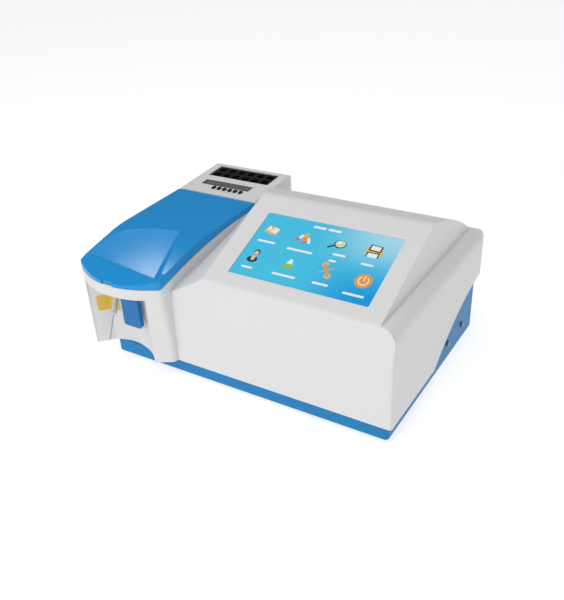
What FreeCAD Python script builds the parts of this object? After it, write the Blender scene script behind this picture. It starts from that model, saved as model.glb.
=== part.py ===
import FreeCAD
import Part

import math
import os

# Semi-automatic chemistry analyzer, all sizes in millimetres.
# The origin is on the table under the middle of the body, X to the right, Y to the back, Z up.

vec = FreeCAD.Vector

# Overall sizes
width = 361.0
depth = 279.0
foot_height = 4.0
left = -width / 2
right = width / 2
front = -depth / 2
back = depth / 2

# White casing
wall = 3.0
casing_bottom = 20.5
front_setback = 30.0
brow_rise = 69.5
brow_height = casing_bottom + brow_rise
brow_lean = 4.0
brow_round = 40.0
deck_rise = 36.3
deck_height = brow_height + deck_rise
panel_angle = 21.4
panel_run = 126.0
crease_round = 10.0
ridge_round = 18.0
tail_length = 9.5
tail_round = 9.0
deck_round = 6.0
rear_knee_back = 59.2
rear_knee_drop = 15.5
slope_round = 300.0
shoulder_round = 14.0
corner_round = 8.0
seam_round = 3.0
bolster_width = 16.4
tower_width = 110.2
shoulder_width = 39.3
valley_drop = 21.7
valley_height = deck_height - valley_drop
valley_slope = 0.181
rise_start = 140.5
rise_knee_back = 78.0
rise_knee_rise = 45.7
rise_knee_height = casing_bottom + rise_knee_rise
rise_end_rise = 52.5
rise_end_height = casing_bottom + rise_end_rise
split_round = 250.0
skirt_round = 10.0

# Left tower
tower_flank = 17.0
flank_angle = 27.0
tower_corner = 6.0
tower_lean_right = 8.0
tower_lean_left = 0.5
rim_rise = 92.5
rim_front_height = casing_bottom + rim_rise
rim_climb = 22.4
rim_height = rim_front_height + rim_climb
rim_knee_back = 111.5
rim_front_back = 18.0
rim_nose_round = 15.0
rim_knee_round = 600.0
tower_rise = 13.8
tower_back_height = rim_height + tower_rise
tower_top_angle = 4.3
tower_top_round = 3.0

# Probe recess in the front of the tower
recess_radius = 61.6
recess_shift = -11.1
recess_center_ahead = 26.0
recess_drop = 12.5
recess_height = rim_front_height - recess_drop
pillar_width = 5.9
pillar_back = 15.6
pillar_splay = 0.92

# Blue base
base_wall = 3.0
base_inset_left = 18.0
base_inset_right = 5.0
base_inset_front = 4.0
base_inset_back = 7.0
base_tongue = 9.0
base_corner = 4.0
base_inner_corner = 2.0
seam_gap = 0.5
link_overlap = 1.0
beam_link_width = 44.0
beam_link_low = 5.0
beam_link_high = 17.0

# Lid over the flow cell bay
lid_length = 195.3
lid_gap = 0.3
lid_back_gap = 0.2
lid_wall = 2.2
lid_knuckle = 3.4
lid_back_rise = 7.6
lid_top_height = rim_height + lid_back_rise
lid_knee_back = 81.5
lid_knee_rise = 25.6
lid_knee_height = rim_front_height + lid_knee_rise
lid_knee_round = 160.0
lid_lip_back = 27.5
lid_lip_rise = 13.6
lid_lip_height = rim_front_height + lid_lip_rise
lid_lip_slope = 0.36
lid_lip_round = 12.0
lid_runout = 12.0
lid_lip_wall = 6.0
notch_width = 15.0
notch_from_right = 57.7
notch_deep = 2.2
scoop_corner = (3.7, 18.3)
scoop_left_end = (84.5, 26.3)
scoop_back_end = (17.6, 61.9)
scoop_middle = (-13.2, 20.5)
scoop_reach = 122.7
scoop_depth = 7.0
scoop_wall_slope = 0.7
hinge_pin_radius = 1.0
running_gap = 0.05
lug_width = 8.0
lug_inset = 22.0
lug_radius = 2.1
lug_back = 0.4
lug_side_gap = 0.4
lug_swing_gap = 0.3
lug_slot = 12.0
pin_overhang = 6.0

# Touch screen
screen_width = 154.0
screen_height = 88.0
screen_from_panel_left = 21.8
screen_up_panel = 19.0
screen_corner = 2.0
glass_margin = 3.0
glass_corner = 3.0
glass_gap = 0.2
glass_thickness = 2.2
glass_depth = 0.8
display_margin = 5.0
display_thickness = 8.0
driver_inset = (20.0, 15.0)
driver_thickness = 4.0

# Incubator, timer display and keys on the tower top
incubator_width = 89.0
incubator_depth = 30.0
incubator_height = 27.0
incubator_from_back = 8.0
incubator_shift = -0.8
incubator_sink = 1.2
incubator_flange = 2.5
incubator_flange_back = 1.0
flange_thickness = 2.0
block_gap = 0.2
well_rows = 2
well_columns = 6
well_radius = 5.2
well_sides = 16
well_pitch = 14.2
well_row_pitch = 14.0
well_deep = 22.0
heater_inset = 4.0
heater_thickness = 3.0
window_width = 70.0
window_depth = 13.0
window_from_back = 49.5
window_shift = -3.5
window_sink = 0.3
window_gap = 0.15
window_lip = 1.6
window_lip_thickness = 1.2
key_count = 6
key_pitch = 7.85
key_width = 4.6
key_length = 6.6
key_from_back = 68.5
key_shift = 5.0
key_rise = 1.4
key_travel = 1.0
key_gap = 0.3
key_flange = 0.8
key_lip = 0.8
key_stem = 1.9
switch_size = 5.0
switch_gap = 0.1
board_thickness = 1.6
timer_post = 10.4
timer_post_size = 4.4
timer_post_inset = 3.0
timer_board_width = 84.0
timer_board_depth = 30.0
timer_board_from_back = 46.0
digits_half = (26.0, 5.0)
digits_gap = 1.8

# Trigger paddle and probe
paddle_left_from_tower = 48.0
paddle_width = 24.0
paddle_length = 45.8
paddle_gap = 0.7
paddle_thickness = 5.0
paddle_corner = 3.0
paddle_stem = 9.0
stem_thickness = 4.0
stem_lap = 2.0
paddle_face_back = 20.0
slot_gap = 1.0
slot_half = 4.0
trigger_pin_rise = 6.2
trigger_pin_height = recess_height + trigger_pin_rise
trigger_pin_radius = 1.0
trigger_pin_spare = 4.0
trigger_knuckle = 3.0
rib_thickness = 2.5
microswitch_size = (11.0, 8.0, 6.0)
microswitch_gap = 4.5
microswitch_button = (3.0, 1.0, 2.0)
probe_from_tower = 34.0
probe_start_back = 38.7
probe_start_rise = 5.5
probe_start_height = recess_height + probe_start_rise
probe_length = 75.5
probe_behind = 6.0
probe_tilt = 24.0
probe_tube_radius = 0.8
nozzle_radius = 2.4
nozzle_wide_radius = 3.6
nozzle_tip_radius = 1.5
nozzle_straight = 18.0
nozzle_taper = 27.0
nozzle_tip = 3.0
nozzle_collar = 2.0
nozzle_fit = 0.1
nozzle_sides = 16

# Printer on the slope behind the screen
printer_left = 14.0
printer_width = 100.0
printer_front_back = 14.6
printer_length = 60.3
printer_door_thickness = 2.4
printer_gap = 0.5
printer_knuckle = 3.0
printer_hinge_ahead = 7.0
printer_hinge_down = 4.6
door_sweep_gap = 0.4
ear_thickness = 2.5
ear_half = 3.5
ear_gap = 0.5
paper_width = 57.0
paper_radius = 17.0
paper_behind_platen = 25.0
paper_down = 3.0
spindle_radius = 6.0
platen_radius = 5.0
platen_length = 60.0
platen_axle = 1.5
platen_from_edge = 9.5
platen_down = 1.6
cradle_wall = 3.0
cradle_drop = 57.7
cradle_rim = 8.0
cradle_rim_thickness = 2.0
head_thickness = 3.0
head_line = 0.8
head_below = 12.0

# Rear plate and what it carries
plate_thickness = 1.5
plate_left = -62.0
plate_right = 168.0
plate_bottom = 9.0
plate_top = 69.0
plate_lap = 3.0
socket_height = 38.0
inlet_x = 142.0
switch_x = 104.0
fuse_x = 80.0
serial_x = 44.0
usb_x = 14.0
fan_x = -30.0
inlet_half = (13.5, 10.5)
inlet_behind = 20.0
inlet_deep = 15.0
inlet_rim = 2.0
inlet_pins = [(-7.0, -1.5), (0.0, 2.5), (7.0, -1.5)]
inlet_pin_half = (1.0, 2.0)
inlet_pin_sink = 3.0
switch_half = (9.5, 13.5)
switch_behind = 18.0
switch_deep = 12.0
switch_rim = 1.5
switch_inner = (2.0, 2.5)
rocker_from_plate = 3.5
rocker_axle_radius = 1.5
rocker_throw = 16.0
rocker_side_gap = 0.3
rocker_half_height = 9.6
rocker_front = 6.0
rocker_waist = 3.6
rocker_rear = 3.0
rocker_corner = 1.0
rocker_dish = 30.0
fuse_radius = 6.0
fuse_cap = 1.5
fuse_cap_length = 5.0
fuse_behind = 22.0
fuse_slot = (5.0, 0.7, 1.2)
serial_half = (9.5, 5.5)
serial_behind = 10.0
serial_flange = (15.4, 6.3, 1.0)
serial_shell = (8.5, 7.2, 4.2)
serial_shell_length = 6.0
serial_shell_wall = 0.8
serial_stud = 2.5
serial_stud_x = 12.5
serial_stud_length = 5.0
usb_half = (6.0, 5.5)
usb_behind = 15.0
usb_wall = 1.6
usb_deep = 8.0
usb_tongue = (2.8, 1.6)
usb_rim = (1.0, 0.6)
fan_size = 50.0
fan_depth = 15.0
fan_corner = 4.0
fan_bore = 23.5
fan_hub = 11.0
fan_seat = 2.0
fan_strut = 3.0
fan_strut_count = 3
fan_shaft = 2.0
fan_blade_count = 7
fan_blade = (1.2, 9.0)
fan_blade_turn = 40.0
fan_tip_gap = 1.0
fan_side_gap = 0.5
guard_wire = 1.4
guard_rings = (8.0, 16.5, 25.0)
guard_ring_sides = 32
guard_spokes = 4
guard_reach = 33.0
waste_x = -110.0
waste_height = 40.0
fitting_radius = 5.0
fitting_flange = 3.0
fitting_flange_thickness = 4.0
fitting_barb = (3.6, 2.8, 5.0)
fitting_bore = 1.6
fitting_sides = 12

# Bay frame, pump and flow cell under the lid
frame_sheet = 1.5
frame_drop = 27.5
frame_height = rim_front_height - frame_drop
frame_left = -158.0
frame_right = -82.0
frame_front = -96.0
frame_back = 40.0
frame_flange = 12.0
frame_window_inset = 15.0
frame_window_low = 17.0
frame_window_high = 17.5
bay_margin = 9.0
bay_front = -98.0
bay_back = 38.0
bay_corner = 8.0
pump_x = -118.0
pump_y = -66.0
pump_size = 46.0
pump_corner = 4.0
pump_height = 16.0
pump_floor = 2.0
pump_pocket = 18.8
roller_radius = 4.0
roller_length = 9.4
roller_orbit = 11.3
roller_count = 3
roller_end_gap = 0.3
roller_pin = 1.2
tube_radius = 1.5
tube_sides = 10
tube_rise = 9.5
tube_overhang = 6.0
tube_orbit = pump_pocket - tube_radius
motor_radius = 18.0
motor_length = 40.0
motor_bore = 25.0
shaft_radius = 2.0
shaft_length = 20.0
shaft_clear = 1.0
rotor_radius = 13.0
rotor_disc = 2.0
rotor_gap = 0.5
rotor_hub = 4.5
rotor_cap = 2.0
cell_x = -118.0
beam_y = 12.0
beam_rise = 9.5
beam_height = frame_height + beam_rise
beam_radius = 3.0
cell_block_size = 40.0
cell_block_height = 24.0
cell_block_corner = 2.0
cell_size = 12.5
cell_length = 32.0
cell_floor = 2.0
cell_seat_gap = 0.05
cell_channel = 1.0
cell_channel_x = 3.0
cell_channel_deep = 24.0
detector_half = 17.0
detector_margin = 1.5
detector_chip = (5.0, 16.0, 9.0)
lens_radius = 5.0
lens_wall = 1.5
lens_seat = 4.0
lens_gap = 2.0
diode_radius = 4.0
diode_length = 4.0
wheel_x = -40.0
wheel_thickness = 5.0
wheel_radius = 28.0
wheel_orbit = 20.0
wheel_sides = 12
filter_count = 8
filter_radius = 5.0
upright_gap = 6.5
upright_thickness = 3.0
upright_above = 18.0
filter_motor_half = 14.0
filter_motor_length = 22.0
filter_shaft = 12.0
bench_left = -66.0
bench_right = 60.0
bench_front = -10.0
bench_back = 36.0
bench_drop = 29.0
bench_height = beam_height - bench_drop
bench_plate = 6.0
bench_leg = 10.0
bench_leg_inset = 8.0
lamp_box_x = (10.0, 50.0)
lamp_box_y = (-8.0, 32.0)
lamp_box_rise = 25.0
lamp_box_top = beam_height + lamp_box_rise
lamp_box_wall = 2.0
lamp_vents = 5
lamp_vent_pitch = 7.0
lamp_vent_width = 3.0
snout_radius = 5.5
snout_bore = 3.5
snout_gap = 2.0
lamp_base = 16.0
lamp_base_drop = 10.0
bulb_radius = 5.0
bulb_length = 15.0

# Electronics on the base
board_x = (-50.0, 165.0)
board_y = (-98.0, -14.0)
board_z = 14.0
supply_x = (80.0, 165.0)
supply_y = (20.0, 98.0)
supply_z = 11.0
supply_top = 50.0
supply_vents = 7
supply_vent_pitch = 10.0
supply_vent_width = 4.0
supply_vent_inset = 12.0
supply_vent_deep = 2.0
post_radius = 3.5
post_sides = 6
post_inset = 6.0
post_root = 0.5
board_components = [
    (20, 18, 24, 24, 2.5),
    (60, 20, 16, 16, 2.5),
    (60, 52, 30, 12, 3.0),
    (110, 14, 40, 18, 10),
    (115, 45, 14, 20, 12),
    (14, 66, 46, 10, 9),
    (160, 60, 40, 12, 9),
]
board_cans = [
    (165, 20, 5, 14),
    (180, 20, 5, 14),
    (150, 52, 4, 11),
]

# Feet and screws
foot_radius = 8.0
foot_sides = 24
foot_inset = 22.0
screw_radius = 1.5
screw_sides = 12
screw_head_radius = 3.4
screw_head = 2.2
screw_height = 23.4
screw_backs = (189.7, 234.6)
tab_thickness = 4.0
tab_gap = 0.3
tab_half = 6.0
tab_below = 7.0
tab_bridge = 4.0

# Spare length of cutting tools past the faces they cut
spare = 1.0
sky = 220.0

# Places worked out from the sizes above
main_front = front + front_setback
crease_y = main_front + brow_lean
ridge_y = crease_y + panel_run
ridge_z = deck_height + panel_run * math.tan(math.radians(panel_angle))
rear_knee = (ridge_y + rear_knee_back, ridge_z - rear_knee_drop)
tail_start = (back - tail_length, deck_height)
valley_x = left + tower_width
tower_x = left + tower_width / 2
panel_left = valley_x + shoulder_width
panel_right = right - bolster_width
lid_back = front + lid_length
rim_knee_y = front + rim_knee_back
base_left = left + base_inset_left
base_right = right - base_inset_right
base_front = main_front + base_inset_front
base_back = back - base_inset_back
base_floor = foot_height + base_wall
rise_y = front + rise_start
bottom_curve = [(rise_y, casing_bottom), (back - rise_knee_back, rise_knee_height), (back, rise_end_height)]

paddle_x = left + paddle_left_from_tower + paddle_width / 2
paddle_bottom = recess_height - paddle_gap - paddle_length
trigger_y = front + paddle_face_back + paddle_thickness / 2
trigger_pin_length = paddle_width + trigger_pin_spare
probe_x = left + probe_from_tower
probe_start_y = front + probe_start_back
probe_down = (0, -math.sin(math.radians(probe_tilt)), -math.cos(math.radians(probe_tilt)))

key_xs = [tower_x + key_shift + key_pitch * (i - (key_count - 1) / 2) for i in range(key_count)]
key_floor = -wall - key_stem
incubator_x = tower_x + incubator_shift
incubator_y1 = -incubator_from_back
incubator_y0 = incubator_y1 - incubator_depth
window_x = tower_x + window_shift
window_y1 = -window_from_back
window_y0 = window_y1 - window_depth
timer_x0 = window_x - timer_board_width / 2
timer_x1 = timer_x0 + timer_board_width
timer_y1 = -timer_board_from_back
timer_y0 = timer_y1 - timer_board_depth
screen_x0 = panel_left + screen_from_panel_left
screen_x1 = screen_x0 + screen_width
screen_y1 = screen_up_panel + screen_height
hinge_y = lid_back - lid_knuckle
hinge_z = lid_top_height - lid_knuckle - 2 * running_gap
lug_xs = [left + lug_inset, valley_x - lug_inset]
plate_y1 = base_back - base_wall
plate_y0 = plate_y1 - plate_thickness
rocker_y = plate_y1 - rocker_from_plate
wheel_z = beam_height + wheel_orbit
upright_x = wheel_x + wheel_thickness / 2 + upright_gap
snout_x = upright_x + snout_gap
screw_ys = [front + reach for reach in screw_backs]
board_posts = [
    (x, y, board_z)
    for x in (board_x[0] + post_inset, board_x[1] - post_inset)
    for y in (board_y[0] + post_inset, board_y[1] - post_inset)
]
supply_posts = [
    (x, y, supply_z)
    for x in (supply_x[0] + post_inset, supply_x[1] - post_inset)
    for y in (supply_y[0] + post_inset, supply_y[1] - post_inset)
]


def box(x0, x1, y0, y1, z0, z1):
    return Part.makeBox(x1 - x0, y1 - y0, z1 - z0, vec(x0, y0, z0))


def rod(radius, length, start, direction):
    return Part.makeCylinder(radius, length, vec(*start), vec(*direction))


def ring_wire(radius, sides, z):
    """Outline with equal straight sides about the local z axis."""
    corners = []
    for i in range(sides):
        angle = 2 * math.pi * (i + 0.5) / sides
        corners.append(vec(radius * math.cos(angle), radius * math.sin(angle), z))
    return Part.makePolygon(corners + corners[:1])


def many_sided(radius, sides, length, start, direction, end_radius=None):
    """Rod with flat sides, for studs and for small round details; it tapers to end_radius."""
    first = ring_wire(radius, sides, 0.0)
    if end_radius is None:
        bar = Part.Face(first).extrude(vec(0, 0, length))
    else:
        bar = Part.makeLoft([first, ring_wire(end_radius, sides, length)], True, True)
    turn = FreeCAD.Rotation(vec(0, 0, 1), vec(*direction))
    bar.Placement = FreeCAD.Placement(vec(*start), turn)
    return bar


def half_space(a, b, c):
    """Large block whose underside holds the three points; it lies above them."""
    normal = (b - a).cross(c - a)
    if normal.z < 0:
        normal = normal.negative()
    normal.normalize()
    size = width + depth
    block = Part.makeBox(2 * size, 2 * size, sky, vec(-size, -size, 0))
    block.Placement = FreeCAD.Placement(a, FreeCAD.Rotation(vec(0, 0, 1), normal))
    return block


def inset_points(points, insets):
    """Moves each side of a counterclockwise outline inwards; side i runs from point i."""
    lines = []
    for i, (x0, y0) in enumerate(points):
        x1, y1 = points[(i + 1) % len(points)]
        length = math.hypot(x1 - x0, y1 - y0)
        nx, ny = -(y1 - y0) / length, (x1 - x0) / length
        lines.append((nx, ny, nx * x0 + ny * y0 + insets[i]))
    moved = []
    for i in range(len(points)):
        a, b, c = lines[i - 1]
        d, e, f = lines[i]
        det = a * e - b * d
        moved.append(((c * e - b * f) / det, (a * f - c * d) / det))
    return moved


def rounded_wire(points, radii, place):
    """Closed outline with each corner rounded; place turns a flat point into a vector."""
    ends = []
    count = len(points)
    for i, (x, y) in enumerate(points):
        px, py = points[i - 1]
        nx, ny = points[(i + 1) % count]
        before = math.hypot(px - x, py - y)
        after = math.hypot(nx - x, ny - y)
        ux, uy = (px - x) / before, (py - y) / before
        wx, wy = (nx - x) / after, (ny - y) / after
        half = math.acos(max(-1.0, min(1.0, ux * wx + uy * wy))) / 2
        if radii[i] <= 0:
            ends.append(((x, y), None, (x, y)))
            continue
        run = radii[i] / math.tan(half)
        reach = radii[i] / math.sin(half) - radii[i]
        mx, my = ux + wx, uy + wy
        size = math.hypot(mx, my)
        middle = (x + mx / size * reach, y + my / size * reach)
        ends.append(((x + ux * run, y + uy * run), middle, (x + wx * run, y + wy * run)))
    edges = []
    for i in range(count):
        start, middle, end = ends[i]
        if middle:
            edges.append(Part.Arc(place(start), place(middle), place(end)).toShape())
        follow = ends[(i + 1) % count][0]
        if math.hypot(follow[0] - end[0], follow[1] - end[1]) > 1e-6:
            edges.append(Part.makeLine(place(end), place(follow)))
    return Part.Wire(edges)


def side_prism(points, radii, x0, x1):
    """Solid with one (y, z) outline from x0 to x1."""
    wire = rounded_wire(points, radii, lambda p: vec(x0, p[0], p[1]))
    return Part.Face(wire).extrude(vec(x1 - x0, 0, 0))


def front_prism(points, radii, y0, y1):
    """Solid with one (x, z) outline from y0 to y1."""
    wire = rounded_wire(points, radii, lambda p: vec(p[0], y0, p[1]))
    return Part.Face(wire).extrude(vec(0, y1 - y0, 0))


def plan_prism(points, radii, z0, z1):
    """Solid with one (x, y) outline from z0 to z1."""
    wire = rounded_wire(points, radii, lambda p: vec(p[0], p[1], z0))
    return Part.Face(wire).extrude(vec(0, 0, z1 - z0))


def rectangle(x0, x1, y0, y1):
    return [(x0, y0), (x1, y0), (x1, y1), (x0, y1)]


def oval_prism(width_x, length_y, z0, z1):
    """Upright oval bar about the local origin, with its round ends in flats."""
    radius = width_x / 2
    steps = 6
    points = []
    for end in (1, -1):
        for i in range(steps + 1):
            angle = math.pi * i / steps
            x = end * radius * math.cos(angle)
            points.append((x, end * (length_y / 2 - radius + radius * math.sin(angle))))
    return plan_prism(points, [0] * len(points), z0, z1)


def slope_place(x, y, z, angle):
    """Frame on a sloping face: local x to the right, y up the slope, z out of the face."""
    return FreeCAD.Placement(vec(x, y, z), FreeCAD.Rotation(vec(1, 0, 0), angle))


def placed(shape, placement):
    moved = shape.copy()
    moved.Placement = placement.multiply(moved.Placement)
    return moved


on_panel = slope_place(0, crease_y, deck_height, panel_angle)
on_tower = slope_place(0, back, tower_back_height, tower_top_angle)


def along_probe(distance):
    """Point on the probe's line, from where it leaves the inside of the casing."""
    return (
        probe_x,
        probe_start_y + probe_down[1] * distance,
        probe_start_height + probe_down[2] * distance,
    )


def rounded_height(before, knee, after, radius, y):
    """Height of a two-part side line with a rounded knee, at a place on the round."""
    back_run = math.hypot(before[0] - knee[0], before[1] - knee[1])
    on_run = math.hypot(after[0] - knee[0], after[1] - knee[1])
    to_back = ((before[0] - knee[0]) / back_run, (before[1] - knee[1]) / back_run)
    onward = ((after[0] - knee[0]) / on_run, (after[1] - knee[1]) / on_run)
    middle = (to_back[0] + onward[0], to_back[1] + onward[1])
    size = math.hypot(*middle)
    half = math.acos(to_back[0] * onward[0] + to_back[1] * onward[1]) / 2
    reach = radius / math.sin(half) / size
    center = (knee[0] + middle[0] * reach, knee[1] + middle[1] * reach)
    return center[1] + math.sqrt(radius ** 2 - (y - center[0]) ** 2)


def split_height(y):
    """Height of the split between casing and base on its rising stretch."""
    return rounded_height(*bottom_curve, split_round, y)


def slope_height(y):
    """Height of the slope behind the screen."""
    return rounded_height((ridge_y, ridge_z), rear_knee, tail_start, slope_round, y)


printer_y0 = ridge_y + printer_front_back
printer_rear = printer_y0 + printer_length
door_y = printer_rear - printer_hinge_ahead
door_z = slope_height(door_y) - printer_hinge_down
door_x = (printer_left + printer_gap, printer_left + printer_width - printer_gap)
platen_x0 = printer_left + (printer_width - platen_length) / 2
platen_x1 = platen_x0 + platen_length
platen_y = printer_y0 + platen_from_edge
platen_z = slope_height(platen_y) - printer_door_thickness - platen_radius - platen_down
roll_y = platen_y + paper_behind_platen
roll_z = slope_height(roll_y + platen_radius) - printer_door_thickness - paper_radius - paper_down
cradle_floor = ridge_z - cradle_drop


# Outer and inner forms of the casing


def main_side_top(skin):
    """Side outline of the main body above the split, from the back over the top to the front."""
    outer = [
        (main_front, 0.0),
        (back, 0.0),
        (back, deck_height),
        tail_start,
        rear_knee,
        (ridge_y, ridge_z),
        (crease_y, deck_height),
        (main_front, brow_height),
    ]
    return inset_points(outer, [0.0] + [skin] * 7)


def main_form(skin, x0, x1):
    """Main body with its raised screen panel, moved inwards by skin."""
    rounds = [
        0,
        0,
        tail_round - skin,
        deck_round + skin,
        slope_round - skin,
        ridge_round - skin,
        crease_round - skin,
        brow_round,
    ]
    body = side_prism(main_side_top(skin), rounds, x0, x1)
    deck = deck_height - skin
    edge = right - skin
    outline = [
        (x0, 0.0),
        (edge, 0.0),
        (edge, deck),
        (panel_right - skin, deck),
        (panel_right - skin, sky),
        (x0, sky),
    ]
    body = body.common(front_prism(outline, [0, 0, shoulder_round - skin, 0, 0, 0], front, back))
    corners = rectangle(x0, edge, main_front + skin, back - skin)
    return body.common(plan_prism(corners, [0, seam_round, corner_round - skin, 0], 0.0, sky))


def shoulder_cut(skin):
    """Twisted facet that falls from the left edge of the screen panel to the tower."""
    overlap = wall + 2 * spare
    sections = []
    for y in (front, back + spare):
        low = valley_height + valley_slope * (y - crease_y) - skin
        high = deck_height + math.tan(math.radians(panel_angle)) * (y - crease_y) - skin
        fall = (high - low) / shoulder_width
        corners = [
            vec(valley_x - overlap, y, low - overlap * fall),
            vec(panel_left, y, high),
            vec(panel_left + spare / 2, y, high + deck_rise),
            vec(valley_x - overlap, y, high + deck_rise),
        ]
        sections.append(Part.makePolygon(corners + corners[:1]))
    return Part.makeLoft(sections, True, True)


def tower_outline(share, skin):
    """Plan outline of the tower with its bowed front; share says how much it leans back."""
    rise = math.tan(math.radians(flank_angle)) * tower_width / 2
    left_y = front + tower_flank + tower_lean_left * share
    right_y = front + tower_flank + tower_lean_right * share
    outer = [
        (left, left_y),
        (tower_x, (left_y + right_y) / 2 - rise),
        (valley_x, right_y),
        (valley_x, back),
        (left, back),
    ]
    return inset_points(outer, [skin] * 5)


def bow_radius(skin):
    rise = math.tan(math.radians(flank_angle)) * tower_width / 2
    ahead = rise - tower_flank
    return ahead / (1 / math.cos(math.radians(flank_angle)) - 1) - skin


def tower_plan_solid(skin, z0, z1):
    """Tower walls; the front leans out towards the rim of the lid."""
    corner = max(tower_corner - skin, spare)
    rounds = [corner, bow_radius(skin), corner, 0.0, corner_round - skin]
    wires = []
    for z in (z0, z1):
        share = (rim_front_height - z) / (rim_front_height - casing_bottom)
        points = tower_outline(share, skin)
        wires.append(rounded_wire(points, rounds, lambda p, z=z: vec(p[0], p[1], z)))
    return Part.makeLoft(wires, True, True)


def tower_top_z(y):
    return tower_back_height - math.tan(math.radians(tower_top_angle)) * (back - y)


def tower_side_top(skin):
    """Side outline of the tower: top panel, step for the lid, then the rim."""
    step_y = lid_back + lid_gap + lid_back_gap
    outer = [
        (front - tower_flank, 0.0),
        (back, 0.0),
        (back, tower_back_height),
        (step_y, tower_top_z(step_y)),
        (step_y, rim_height),
        (rim_knee_y, rim_height),
        (front + rim_front_back, rim_front_height),
        (front - tower_flank, rim_front_height),
    ]
    return inset_points(outer, [0.0, skin, skin, skin, skin, skin, skin, 0.0])


def tower_form(skin):
    rounds = [0, 0, tower_top_round, 0, 0, rim_knee_round, rim_nose_round, 0]
    side = side_prism(tower_side_top(skin), rounds, left - spare, valley_x + spare)
    return tower_plan_solid(skin, 0.0, tower_back_height + spare).common(side)


def recess_cut(skin):
    """Scooped recess for the probe; skin makes it larger to leave its wall."""
    center = (tower_x + recess_shift, front - recess_center_ahead, -spare)
    scoop = rod(recess_radius + skin, recess_height + skin + spare, center, (0, 0, 1))
    edge = (left + pillar_width, front + pillar_back)
    far = front + depth / 2
    splayed = (edge[0] + (far - edge[1]) * pillar_splay, far)
    ahead = front - recess_center_ahead - recess_radius
    outline = [(edge[0], ahead), (right, ahead), (right, far), splayed, edge]
    outline = inset_points(outline, [0.0, 0.0, 0.0, -skin, -skin])
    return scoop.common(plan_prism(outline, [0] * 5, -spare, sky))


def below_split(lift, x0, x1):
    """Everything under the split between casing and base, raised by lift."""
    ahead = front - front_setback
    behind = back + front_setback
    points = [(ahead, -front_setback), (behind, -front_setback), (behind, rise_end_height + lift)]
    points += [(y, z + lift) for y, z in reversed(bottom_curve)]
    points += [(ahead, casing_bottom + lift)]
    return side_prism(points, [0, 0, 0, 0, split_round, skirt_round, 0], x0, x1)


def printer_opening(skin):
    """Column over the part of the rear slope that the printer door fills."""
    return box(
        printer_left + skin,
        printer_left + printer_width - skin,
        printer_y0 + skin,
        printer_rear - skin,
        brow_height,
        sky,
    )


def upper_casing():
    shell = main_form(0.0, valley_x, right).cut(shoulder_cut(0.0)).fuse(tower_form(0.0))
    inner = main_form(wall, valley_x, right).cut(shoulder_cut(wall * 1.25))
    inner_tower = tower_form(wall).cut(recess_cut(wall))
    link_x = (valley_x - wall - link_overlap, valley_x + link_overlap)
    link = box(*link_x, base_front - seam_gap, base_back + seam_gap, 0.0, brow_height)
    beam_link = box(
        *link_x,
        beam_y - beam_link_width / 2,
        beam_y + beam_link_width / 2,
        beam_height - beam_link_low,
        beam_height + beam_link_high,
    )
    cavity = inner.fuse(inner_tower).fuse(link).fuse(beam_link)
    cavity = cavity.cut(below_split(wall, left - spare, base_left - seam_gap))
    front_edge = base_front - seam_gap
    cavity = cavity.cut(box(left, valley_x, front, front_edge, -spare, casing_bottom + wall))
    shell = shell.cut(cavity).cut(recess_cut(0.0))
    shell = shell.cut(below_split(0.0, left - spare, right + spare))
    shell = cut_bay_opening(shell)
    shell = cut_screen_window(shell)
    shell = cut_tower_top(shell)
    shell = shell.cut(printer_opening(0.0))
    shell = add_casing_lugs(shell)
    shell = add_trigger_seat(shell)
    shell = add_board_posts(shell)
    return add_screw_tabs(shell)


def cut_bay_opening(shell):
    """Opening in the rim deck that gives reach to the pump and the flow cell."""
    corners = rectangle(left + bay_margin, valley_x - bay_margin, bay_front, bay_back)
    low = recess_height + wall + spare
    return shell.cut(plan_prism(corners, [bay_corner] * 4, low, tower_back_height))


def cut_screen_window(shell):
    corners = rectangle(screen_x0, screen_x1, screen_up_panel, screen_y1)
    window = plan_prism(corners, [screen_corner] * 4, -2 * wall, 2 * wall)
    rebate = glass_slab(glass_gap, -2 * wall, -glass_depth)
    return shell.cut(placed(window, on_panel)).cut(placed(rebate, on_panel))


def glass_slab(gap, z0, z1):
    reach = glass_margin + gap
    corners = rectangle(
        screen_x0 - reach, screen_x1 + reach, screen_up_panel - reach, screen_y1 + reach
    )
    return plan_prism(corners, [glass_corner] * 4, z0, z1)


def cut_tower_top(shell):
    """Seats of the incubator block, the timer window and the keys."""
    low, high = -2 * wall, 2 * wall
    half = incubator_width / 2
    block = box(incubator_x - half, incubator_x + half, incubator_y0, incubator_y1, low, high)
    half = window_width / 2
    window = box(window_x - half, window_x + half, window_y0, window_y1, low, high)
    shell = shell.cut(placed(block, on_tower)).cut(placed(window, on_tower))
    hole = oval_prism(key_width + 2 * key_gap, key_length + 2 * key_gap, low, high)
    for x in key_xs:
        spot = hole.copy()
        spot.translate(vec(x, -key_from_back, 0))
        shell = shell.cut(placed(spot, on_tower))
    return shell


def add_casing_lugs(shell):
    """Hinge posts on the rim; each is cut back so that the opening lid swings past it."""
    for x in lug_xs:
        x0, x1 = x - lug_width / 2, x + lug_width / 2
        low = rim_height - wall / 2
        post = box(x0, x1, hinge_y - lug_radius, hinge_y + lug_back, low, hinge_z)
        post = post.fuse(rod(lug_radius, lug_width, (x0, hinge_y, hinge_z), (1, 0, 0)))
        bore = rod(hinge_pin_radius, lug_width, (x0, hinge_y, hinge_z), (1, 0, 0))
        shell = shell.fuse(post.cut(bore))
    return shell


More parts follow.
